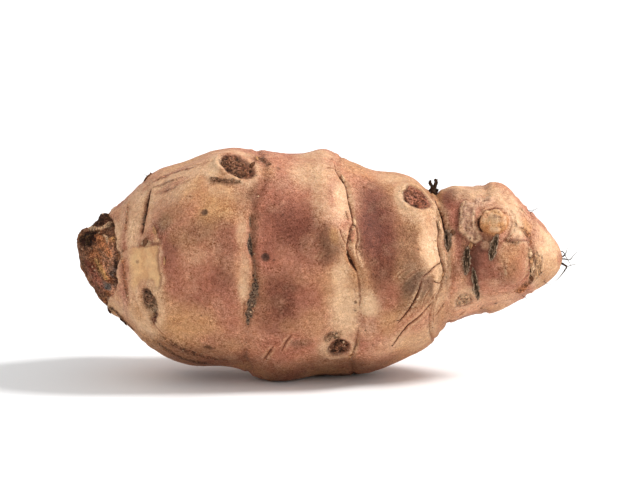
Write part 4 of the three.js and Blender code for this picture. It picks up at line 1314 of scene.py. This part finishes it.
@material("dry scale leaf")
def leaf_material(wires, shader, settings):
    """Dead leaf: dark down the middle, pale and papery at its edges and in streaks."""
    place = wires.place()
    fibres = wires.use(fibre_group, place, Contrast=1.3)
    fray = wires.minus(wires.noise(place, 0.6, 4, 0.7), 0.5)
    worn = wires.grade(wires.plus(wires.attribute("edge"), fray), 0.4, 1.0)
    streak = wires.grade(fibres["Height"], 0.5, 0.7, 0, 0.8)
    base = wires.mix(wires.math("MAXIMUM", worn, streak), settings.leaf_dark[:], settings.leaf_pale[:])
    finish_dry(wires, shader, base, fibres, 0.8, (0.7, 0.95), 0.5)


@material("torn skin")
def torn_material(wires, shader, settings):
    """Torn skin: its own tint, browner and paler in streaks."""
    fibres = wires.use(fibre_group, wires.place(), Contrast=0.5)
    base = wires.attribute("tint", "Color")
    finish_dry(wires, shader, base, fibres, settings.grain, (0.6, 0.85), 0.2)


@material("dry root")
def root_material(wires, shader, settings):
    """Dead root: dark brown and fibrous, greyer where it is thin."""
    place = wires.place()
    fibres = wires.use(fibre_group, place, Contrast=0.8)
    fray = wires.minus(wires.noise(place, 0.6, 3), 0.5)
    thin = wires.grade(wires.plus(wires.attribute("edge"), fray), 0.3, 1.0)
    base = wires.mix(thin, settings.root_dark[:], settings.root_pale[:])
    finish_dry(wires, shader, base, fibres, 0.6, (0.65, 0.95), 0.2)


@material("loose skin")
def flake_material(wires, shader, settings):
    """Loose flakes of skin: thin, papery, from cream to brown."""
    place = wires.place()
    grain = wires.use(grain_group, place, Contrast=0.7)
    tone = wires.grade(wires.noise(place, 1.6, 3, 0.6), 0.36, 0.64)
    base = wires.shaded(wires.mix(tone, settings.bark[:], settings.cream[:]), grain["Shade"])
    rough = wires.grade(grain["Height"], 0.3, 0.7, 0.6, 0.9)
    finish_surface(wires, shader, base, rough, grain["Height"], 0.1)


@material("soil crumbs")
def crumb_material(wires, shader, settings):
    """Dry soil in crumbs."""
    place = wires.place()
    crumbs = wires.use(crumble_group, place)
    tone = wires.grade(wires.noise(place, 0.9, 3, 0.6), 0.38, 0.62)
    # The crumbs' shade is painted shade in their hollows and a painted highlight on their crests.
    base = wires.shaded(wires.mix(tone, settings.soil_dark[:], settings.soil_pale[:]), crumbs["Shade"])
    finish_surface(wires, shader, base, wires.grade(tone, 0, 1, 0.8, 1.0), crumbs["Height"], 0.1)


@material("white table")
def table_material(wires, shader, settings):
    """Plain matt white."""
    shader.inputs["Base Color"].default_value = (0.9, 0.9, 0.9, 1)
    shader.inputs["Roughness"].default_value = 0.6


# ---------------------------------------------------------------------------------- the pieces

def add_piece(name, mesh, material, replaced=()):
    """Puts a finished mesh in the scene as a piece of the tuber's one body."""
    mesh.name = name
    mesh.materials.clear()
    mesh.materials.append(material)
    piece = bpy.data.objects.new(name, mesh)
    bpy.context.scene.collection.objects.link(piece)
    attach(piece, "root")
    if replaced:
        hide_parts(*replaced)


def made_mesh(name, points, faces, **attributes):
    """A mesh from points in millimetres, with an attribute for each list of values."""
    mesh = bpy.data.meshes.new(name)
    mesh.from_pydata([tuple(MM * c for c in p) for p in points], [], faces)
    store(mesh, **attributes)
    mesh.update()
    mesh.shade_smooth()
    return mesh


def finished_skin():
    """The mesh of the finished skin, for the pieces that lie on it."""
    skin = bpy.data.objects.get("tuber_skin")
    if skin is None:
        raise RuntimeError("build the tuber before what lies on it")
    return skin.data


# Thickness of leaves and flaps, how far the ends of the leaves curl up, thickness of the thin
# end of a rootlet, and the grid on which the stub's prongs are melted together.
LEAF_THICKNESS, LEAF_LIFT, ROOTLET_END, MELT_GRID = 0.12, 0.25, 0.07, 0.07


def strip(surface, along, turn, length, width, lean, lift, seed, rows=48, columns=14):
    """A ragged strip of leaf or skin that follows the tuber: points, faces and edge values.

    It runs round the tuber, leaning by some degrees, and lift says how far its ends curl up.
    """
    down, across = np.meshgrid(np.linspace(-1, 1, rows), np.linspace(-1, 1, columns), indexing="ij")
    spots = np.stack([down.ravel(), across.ravel(), np.full(down.size, float(seed))], -1)
    frays = (0.6 * layered_noise(spots * [4.4, 0.9, 1], 0.6, 4, seed)).reshape(down.shape)
    ends = 0.2 * layered_noise(spots * [0, 3, 1], 0.8, 2, seed + 7).reshape(down.shape)
    half = width / 2 * (1 - 0.72 * np.abs(down) ** 2.4) * (1 + frays)
    reach = length / 2 * down * (1 + ends * np.abs(down))
    ribs = ridged(spots * [0.5, 4, 1], 1.0, 2, seed + 3).reshape(down.shape)
    out = 0.05 + 0.1 * (1 - across ** 2) + 0.16 * ribs + lift * rise(down, 0.35, 1) * (0.4 + across * 0.3)
    tilt, arc = math.radians(lean), surface.arc(along)
    top, bottom = [], []
    for d, a, o in zip(reach.ravel(), (half * across).ravel(), out.ravel()):
        here_along = along + a * math.cos(tilt) + d * math.sin(tilt)
        here_turn = turn + (d * math.cos(tilt) - a * math.sin(tilt)) / arc
        spot, normal = surface.spot(here_along, here_turn)
        top.append(spot + normal * o)
        bottom.append(spot + normal * (o - LEAF_THICKNESS))
    faces, lower = [], rows * columns
    grid = np.arange(lower).reshape(rows, columns).tolist()
    for row, after in zip(grid, grid[1:]):
        for a, b, c, d in zip(row, row[1:], after[1:], after):
            faces += [(a, d, c, b), (lower + a, lower + b, lower + c, lower + d)]
    right, left = [row[-1] for row in grid[1:]], [row[0] for row in grid[-2:0:-1]]
    rim = grid[0] + right + grid[-1][-2::-1] + left
    for a, b in zip(rim, rim[1:] + rim[:1]):
        faces.append((a, b, lower + b, lower + a))
    edge = np.maximum(np.abs(across), np.abs(down) ** 3).ravel()
    return top + bottom, faces, np.concatenate([edge, edge])


def limb(path, foot, end, seed, sides=8, rough=0.12):
    """A tapered root along a path in millimetres, with closed ends: points, faces, edge values."""
    path = rounded(path, False, 6)
    points, faces, edge = [], [], []
    lead = Vector((0, 1, 0))
    for i, spot in enumerate(path):
        share = i / (len(path) - 1)
        ahead = Vector(path[min(i + 1, len(path) - 1)] - path[max(i - 1, 0)]).normalized()
        side = lead.cross(ahead).normalized()
        lead = ahead.cross(side)
        thick = (foot + (end - foot) * share) / 2
        for k in range(sides):
            angle = 2 * math.pi * k / sides
            way = side * math.cos(angle) + lead * math.sin(angle)
            bump = soft_noise(np.array([[3 * way.x + i, 3 * way.y, 3 * way.z]]), 1.3, seed)[0]
            points.append(Vector(spot) + way * thick * (1 + rough * 2.5 * bump))
            edge.append(share)
    rings = len(path)
    for i in range(rings - 1):
        for k in range(sides):
            a, b = i * sides + k, i * sides + (k + 1) % sides
            faces.append((a, b, b + sides, a + sides))
    faces.append(tuple(reversed(range(sides))))
    faces.append(tuple((rings - 1) * sides + k for k in range(sides)))
    return points, faces, edge


def gathered(parts):
    """Several (points, faces, values) lists as one."""
    points, faces, values = [], [], []
    for some_points, some_faces, some_values in parts:
        faces += [tuple(i + len(points) for i in face) for face in some_faces]
        points += list(some_points)
        values += list(some_values)
    return points, faces, values


def fused(mesh, voxel):
    """The mesh with its overlapping solids melted into one skin."""
    result = modified("melted", mesh, "REMESH", mode="VOXEL", voxel_size=voxel * MM)
    result.shade_smooth()
    return result


# --------------------------------------------------------------------- small bits in numbers

def scatter_group():
    """Geometry nodes that strew copies of one bit over a surface where a mask allows it."""
    tree = bpy.data.node_groups.get("strewn bits")
    if tree:
        return tree
    tree = bpy.data.node_groups.new("strewn bits", "GeometryNodeTree")
    sockets = {
        "Skin": "NodeSocketGeometry", "Bit": "NodeSocketObject", "Mask": "NodeSocketString",
        "Density": "NodeSocketFloat", "Smallest": "NodeSocketFloat", "Largest": "NodeSocketFloat",
        "Tilt": "NodeSocketFloat", "Seed": "NodeSocketInt", "Material": "NodeSocketMaterial",
    }
    for label, kind in sockets.items():
        tree.interface.new_socket(label, in_out="INPUT", socket_type=kind)
    tree.interface.new_socket("Bits", in_out="OUTPUT", socket_type="NodeSocketGeometry")
    wires = Wiring(tree)
    given = wires.add("NodeGroupInput").outputs
    mask = wires.add("GeometryNodeInputNamedAttribute", {"Name": given["Mask"]}, data_type="FLOAT")
    density = wires.times(wires.math("POWER", mask.outputs[0], 1.5), given["Density"])
    spread = wires.add(
        "GeometryNodeDistributePointsOnFaces",
        {"Mesh": given["Skin"], "Density": density, "Seed": given["Seed"]},
    ).outputs
    lean = wires.times(given["Tilt"], -1)
    turn = wires.add("FunctionNodeRandomValue", {"Seed": given["Seed"]}, data_type="FLOAT_VECTOR")
    low = wires.add("ShaderNodeCombineXYZ", {0: lean, 1: lean, 2: -math.pi}).outputs[0]
    high = wires.add("ShaderNodeCombineXYZ", {0: given["Tilt"], 1: given["Tilt"], 2: math.pi}).outputs[0]
    wires.feed(turn.inputs["Min"], low)
    wires.feed(turn.inputs["Max"], high)
    rotation = wires.add(
        "FunctionNodeRotateRotation", {"Rotation": spread["Rotation"], "Rotate By": turn.outputs[0]},
        rotation_space="LOCAL",
    ).outputs[0]
    size = wires.add("FunctionNodeRandomValue", {"Seed": given["Seed"]}, data_type="FLOAT")
    for label, end in (("Min", "Smallest"), ("Max", "Largest")):
        socket = next(i for i in size.inputs if i.name == label and i.type == "VALUE")
        wires.feed(socket, given[end])
    scale = next(o for o in size.outputs if o.type == "VALUE")
    bit = wires.add("GeometryNodeObjectInfo", {"Object": given["Bit"]}).outputs["Geometry"]
    copies = wires.add(
        "GeometryNodeInstanceOnPoints",
        {"Points": spread["Points"], "Instance": bit, "Rotation": rotation, "Scale": scale},
    ).outputs[0]
    real = wires.add("GeometryNodeRealizeInstances", {"Geometry": copies}).outputs[0]
    done = wires.add("GeometryNodeSetMaterial", {"Geometry": real, "Material": given["Material"]})
    wires.feed(wires.add("NodeGroupOutput").inputs["Bits"], done.outputs[0])
    return tree


def strewn(host, bit_mesh, material, **inputs):
    """The plain mesh of all the bits strewn over the host mesh."""
    tree = scatter_group()
    bit = bpy.data.objects.new("bit", bit_mesh)
    bed = bpy.data.objects.new("bed", host.copy())
    bpy.context.scene.collection.objects.link(bit)
    bpy.context.scene.collection.objects.link(bed)
    modifier = bed.modifiers.new("strew", "NODES")
    modifier.node_group = tree
    named = {item.name: item.identifier for item in tree.interface.items_tree if item.in_out == "INPUT"}
    for label, value in {"Bit": bit, "Material": material, **inputs}.items():
        modifier[named[label]] = value
    bed.update_tag()
    result = baked(bed)
    bpy.data.objects.remove(bed)
    bpy.data.objects.remove(bit)
    if not result.polygons:
        raise RuntimeError("nothing was strewn")
    for vertex in result.vertices:
        vertex.co.z = max(vertex.co.z, 0)
    return result


def flake_mesh():
    """A thin bent scale of skin about a millimetre across."""
    points, faces = [], []
    outline = [
        (0.5, 0.05), (0.3, 0.34), (-0.08, 0.42), (-0.46, 0.2), (-0.42, -0.22), (-0.05, -0.36),
        (0.34, -0.28),
    ]
    for level in (0.05, -0.03):
        points.append((0, 0, level + 0.06))
        points += [(x, y, level + 0.3 * x * x - 0.1 * y) for x, y in outline]
    count = len(outline)
    lower = count + 1
    for i in range(count):
        a, b = 1 + i, 1 + (i + 1) % count
        faces += [(0, a, b), (lower, lower + b, lower + a), (a, lower + a, lower + b, b)]
    return made_mesh("flake", points, faces)


def crumb_mesh():
    """A lump of soil about a millimetre across."""
    shape = bmesh.new()
    bmesh.ops.create_icosphere(shape, subdivisions=1, radius=0.5 * MM)
    for vertex in shape.verts:
        spot = np.array([vertex.co[:]]) / MM
        vertex.co *= 1 + 0.35 * soft_noise(spot, 0.5, SEED)[0]
        vertex.co.z *= 0.75
    mesh = bpy.data.meshes.new("crumb")
    shape.to_mesh(mesh)
    shape.free()
    return mesh


def fibre_mesh():
    """A bent dry fibre about a millimetre long."""
    path = [(-0.5, 0, 0.05), (-0.15, 0.06, 0.22), (0.25, -0.04, 0.26), (0.6, 0.1, 0.1)]
    points, faces, _ = limb(path, 0.07, 0.03, SEED, sides=3, rough=0)
    return made_mesh("fibre", points, faces)


# ---------------------------------------------------------------------------------- settings

def colour_property(label, description, value):
    return bpy.props.FloatVectorProperty(
        name=label, description=description, subtype="COLOR", size=3, min=0, max=1,
        default=colour(value),
    )


def share_property(label, description, default, most):
    return bpy.props.FloatProperty(
        name=label, description=description, default=default, min=0, max=most, subtype="FACTOR",
    )


class SkinSettings(bpy.types.PropertyGroup):
    __annotations__ = {
        name: colour_property(name.capitalize(), f"The {name} of the skin", value)
        for name, value in TINTS.items()
    }
    __annotations__ |= {
        "relief": share_property("Relief", "How strongly creases, splits and scars stand out", 1.0, 2),
        "grain": share_property("Grain", "Contrast of the fine stipple", 0.55, 1),
        "soil_dark": colour_property("Damp soil", "The darker colour of stuck soil", "33231c"),
        "soil_pale": colour_property("Dry soil", "The paler colour of stuck soil", "8f755f"),
        "leaf_dark": colour_property("Leaf middle", "Leaf middle colour", "4b3828"),
        "leaf_pale": colour_property("Leaf edge", "Leaf edge colour", "a98c74"),
        "root_dark": colour_property("Root foot", "Root foot colour", "3b2a1f"),
        "root_pale": colour_property("Root end", "Root end colour", "8d8378"),
        "split_dark": colour_property("Inside of splits", "Colour deep inside a split", "3a1c10"),
    }


class StageSettings(bpy.types.PropertyGroup):
    key_strength: bpy.props.FloatProperty(
        name="Key light", description="Strength of the light from the upper right",
        default=3.3, min=0,
    )
    key_elevation: bpy.props.FloatProperty(
        name="Key height", description="Angle of the key light above the table",
        default=math.radians(42), subtype="ANGLE",
    )
    key_softness: bpy.props.FloatProperty(
        name="Key softness", description="How wide the key light looks from the tuber",
        default=math.radians(13), subtype="ANGLE",
    )
    fill_strength: bpy.props.FloatProperty(
        name="Surroundings", description="Brightness of the white surroundings", default=0.8, min=0,
    )
    lens: bpy.props.FloatProperty(
        name="Lens", description="Focal length", default=120, min=20, unit="CAMERA",
    )
    distance: bpy.props.FloatProperty(
        name="Camera distance", description="From the camera to the tuber", default=0.417,
        min=0.1, unit="LENGTH",
    )
    elevation: bpy.props.FloatProperty(
        name="Camera height", description="Angle above the table", default=math.radians(7),
        subtype="ANGLE",
    )


# ---------------------------------------------------------------------------------- operators

class MakeSkin(bpy.types.Operator):
    """Build the tuber with its skin"""

    bl_idname = "artichoke.make_skin"
    bl_label = "Tuber"

    def execute(self, context):
        settings = context.scene.artichoke_skin
        add_piece("tuber_skin", build_skin(settings), skin_material(settings), ["tuber"])
        return {"FINISHED"}


class MakeLeaves(bpy.types.Operator):
    """Lay the dry scale leaves and the torn flaps on the tuber"""

    bl_idname = "artichoke.make_leaves"
    bl_label = "Scale leaves and flaps"

    def execute(self, context):
        settings = context.scene.artichoke_skin
        surface = Surface(finished_skin())
        material = leaf_material(settings)
        for seed, (name, row) in enumerate(LEAVES.items()):
            points, faces, edge = strip(surface, *row, LEAF_LIFT, seed + 1, rows=80, columns=20)
            mesh = made_mesh(name, points, faces, edge=edge)
            add_piece(f"{name}_dry", mesh, material, [name])
        self.make_flaps(surface, settings)
        return {"FINISHED"}

    def make_flaps(self, surface, settings):
        parts, tints = [], []
        for seed, (*row, tint) in enumerate(FLAPS):
            part = strip(surface, *row, seed + 20, rows=20, columns=8)
            parts.append(part)
            tints += [getattr(settings, tint)[:]] * len(part[0])
        points, faces, _ = gathered(parts)
        mesh = made_mesh("torn_flaps", points, faces, tint=tints)
        add_piece("torn_flaps", mesh, torn_material(settings))


class MakeRoots(bpy.types.Operator):
    """Grow the rootlets at the tip, the fine hairs and the stub in the neck"""

    bl_idname = "artichoke.make_roots"
    bl_label = "Rootlets, hairs and stub"

    def execute(self, context):
        surface = Surface(finished_skin())
        material = root_material(context.scene.artichoke_skin)
        plain = spots_of(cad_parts["tuber"].data)
        tip = plain[plain[:, 0].argmax()]
        for seed, (name, (thickness, steps)) in enumerate(ROOTLETS.items()):
            points, faces, edge = limb([tip + step for step in steps], thickness, ROOTLET_END, seed)
            mesh = made_mesh(name, points, faces, edge=edge)
            add_piece(f"{name}_dry", mesh, material, [name])
        self.make_hairs(surface, material)
        self.make_stub(surface, material)
        return {"FINISHED"}

    def make_hairs(self, surface, material):
        parts = []
        for seed, (along, turn, forward, aside, outward) in enumerate(HAIRS):
            spot, normal = surface.spot(along, turn, -0.1)
            sideways = normal.cross(Vector((1, 0, 0))).normalized()
            way = Vector((forward, 0, 0)) + normal * outward + sideways * aside
            bend = sideways * 0.3 * (-1) ** seed
            path = [spot, spot + way * 0.5 + bend, spot + way * 1.1, spot + way * 1.7 - bend]
            parts.append(limb([np.array(p) for p in path], 0.13, 0.03, seed, sides=5))
        points, faces, edge = gathered(parts)
        add_piece("fine_hairs", made_mesh("fine_hairs", points, faces, edge=edge), material)

    def make_stub(self, surface, material):
        foot, _ = surface.spot(*STUB_FOOT)
        parts = []
        for seed, (thick, thin, steps) in enumerate(STUB_PRONGS):
            path = [np.array(foot) + np.array(step) for step in steps]
            parts.append(limb(path, thick, thin, seed + 30, sides=12, rough=0.2))
        points, faces, _ = gathered(parts)
        mesh = fused(made_mesh("stub", points, faces), MELT_GRID)
        lumps = 0.12
        for vertex in mesh.vertices:
            spot = np.array([vertex.co[:]]) / MM
            vertex.co += vertex.normal * lumps * MM * layered_noise(spot, 0.5, 2, SEED)[0]
        add_piece("neck_root_stub_dry", mesh, material, ["neck_root_stub"])


# Bits strewn over the skin: (piece, mesh, material, slot, mask that they follow, number on a
# square millimetre, smallest and largest size, tilt in radians).
BIT_KINDS = [
    ("loose_flakes", flake_mesh, flake_material, "tuber_skin", "flaky", 0.7, 0.2, 0.55, 0.3),
    ("soil_crumbs", crumb_mesh, crumb_material, "tuber_skin", "soil", 3.0, 0.06, 0.22, 3.0),
    ("loose_fibres", fibre_mesh, root_material, "dry_root", "flaky", 0.3, 0.4, 1.0, 0.2),
]


class StrewBits(bpy.types.Operator):
    """Strew loose flakes, soil crumbs and fibres along the joints, scars and torn edges"""

    bl_idname = "artichoke.strew_bits"
    bl_label = "Flakes, crumbs and fibres"

    def execute(self, context):
        settings = context.scene.artichoke_skin
        host = finished_skin()
        for seed, row in enumerate(BIT_KINDS):
            name, bit_mesh, bit_material, slot, mask, per_square_mm, smallest, largest, tilt = row
            material = bit_material(settings)
            mesh = strewn(
                host, bit_mesh(), material, Mask=mask, Density=per_square_mm / MM ** 2,
                Smallest=smallest, Largest=largest, Tilt=tilt, Seed=SEED + seed,
            )
            add_piece(name, mesh, material)
        return {"FINISHED"}


def aim(thing, target):
    direction = Vector(target) - thing.location
    thing.rotation_euler = direction.to_track_quat("-Z", "Y").to_euler()


# The point that the camera looks at, in millimetres, and half the side of the table in metres.
LOOKED_AT = (-1.6, 0, 26.8)
HALF_TABLE = 12


class MakeStage(bpy.types.Operator):
    """Build the table, the lights and the camera"""

    bl_idname = "artichoke.make_stage"
    bl_label = "Stage"

    def execute(self, context):
        settings = context.scene.artichoke_stage
        self.make_floor()
        self.make_key(settings)
        self.make_surroundings(context.scene, settings.fill_strength)
        self.make_camera(context.scene, settings)
        context.scene.view_settings.view_transform = "Standard"
        return {"FINISHED"}

    def make_floor(self):
        mesh = bpy.data.meshes.new("table top")
        x = y = HALF_TABLE
        mesh.from_pydata([(-x, -y, 0), (x, -y, 0), (x, y, 0), (-x, y, 0)], [], [(0, 1, 2, 3)])
        floor = bpy.data.objects.new("table_top", mesh)
        bpy.context.scene.collection.objects.link(floor)
        mesh.materials.append(table_material())

    def make_key(self, settings):
        lamp = bpy.data.lights.new("key light", "SUN")
        lamp.energy = settings.key_strength
        lamp.angle = settings.key_softness
        thing = bpy.data.objects.new("key light", lamp)
        tilt = settings.key_elevation
        thing.location = (math.cos(tilt), 0, math.sin(tilt))
        aim(thing, (0, 0, 0))
        bpy.context.scene.collection.objects.link(thing)

    def make_surroundings(self, scene, brightness):
        world = bpy.data.worlds.new("white room")
        world.use_nodes = True
        wires = Wiring(world.node_tree)
        background = world.node_tree.nodes["Background"]
        background.inputs["Color"].default_value = (1, 1, 1, 1)
        seen = wires.add("ShaderNodeLightPath").outputs["Is Camera Ray"]
        wires.feed(background.inputs["Strength"], wires.math("MAXIMUM", seen, brightness))
        scene.world = world

    def make_camera(self, scene, settings):
        lens = bpy.data.cameras.new("camera")
        lens.lens = settings.lens
        camera = bpy.data.objects.new("camera", lens)
        target = Vector(LOOKED_AT) * MM
        tilt = settings.elevation
        camera.location = target + settings.distance * Vector((0, -math.cos(tilt), math.sin(tilt)))
        aim(camera, target)
        scene.collection.objects.link(camera)
        scene.camera = camera


class ArtichokePanel(bpy.types.Panel):
    """Settings and steps of the artichoke"""

    bl_idname = "VIEW3D_PT_artichoke"
    bl_label = "Jerusalem Artichoke"
    bl_space_type = "VIEW_3D"
    bl_region_type = "UI"
    bl_category = "Artichoke"

    def draw(self, context):
        for step in STEPS:
            self.layout.operator(step.bl_idname)
        for settings in (context.scene.artichoke_skin, context.scene.artichoke_stage):
            box = self.layout.box()
            for name in settings.__annotations__:
                box.prop(settings, name)


STEPS = (MakeSkin, MakeLeaves, MakeRoots, StrewBits, MakeStage)
CLASSES = (SkinSettings, StageSettings, *STEPS, ArtichokePanel)


def register():
    for kind in CLASSES:
        bpy.utils.register_class(kind)
    bpy.types.Scene.artichoke_skin = bpy.props.PointerProperty(type=SkinSettings)
    bpy.types.Scene.artichoke_stage = bpy.props.PointerProperty(type=StageSettings)


def unregister():
    del bpy.types.Scene.artichoke_stage
    del bpy.types.Scene.artichoke_skin
    for kind in reversed(CLASSES):
        bpy.utils.unregister_class(kind)


def main():
    register()
    for step in STEPS:
        group, name = step.bl_idname.split(".")
        getattr(getattr(bpy.ops, group), name)()


if __name__ == "__main__":
    main()
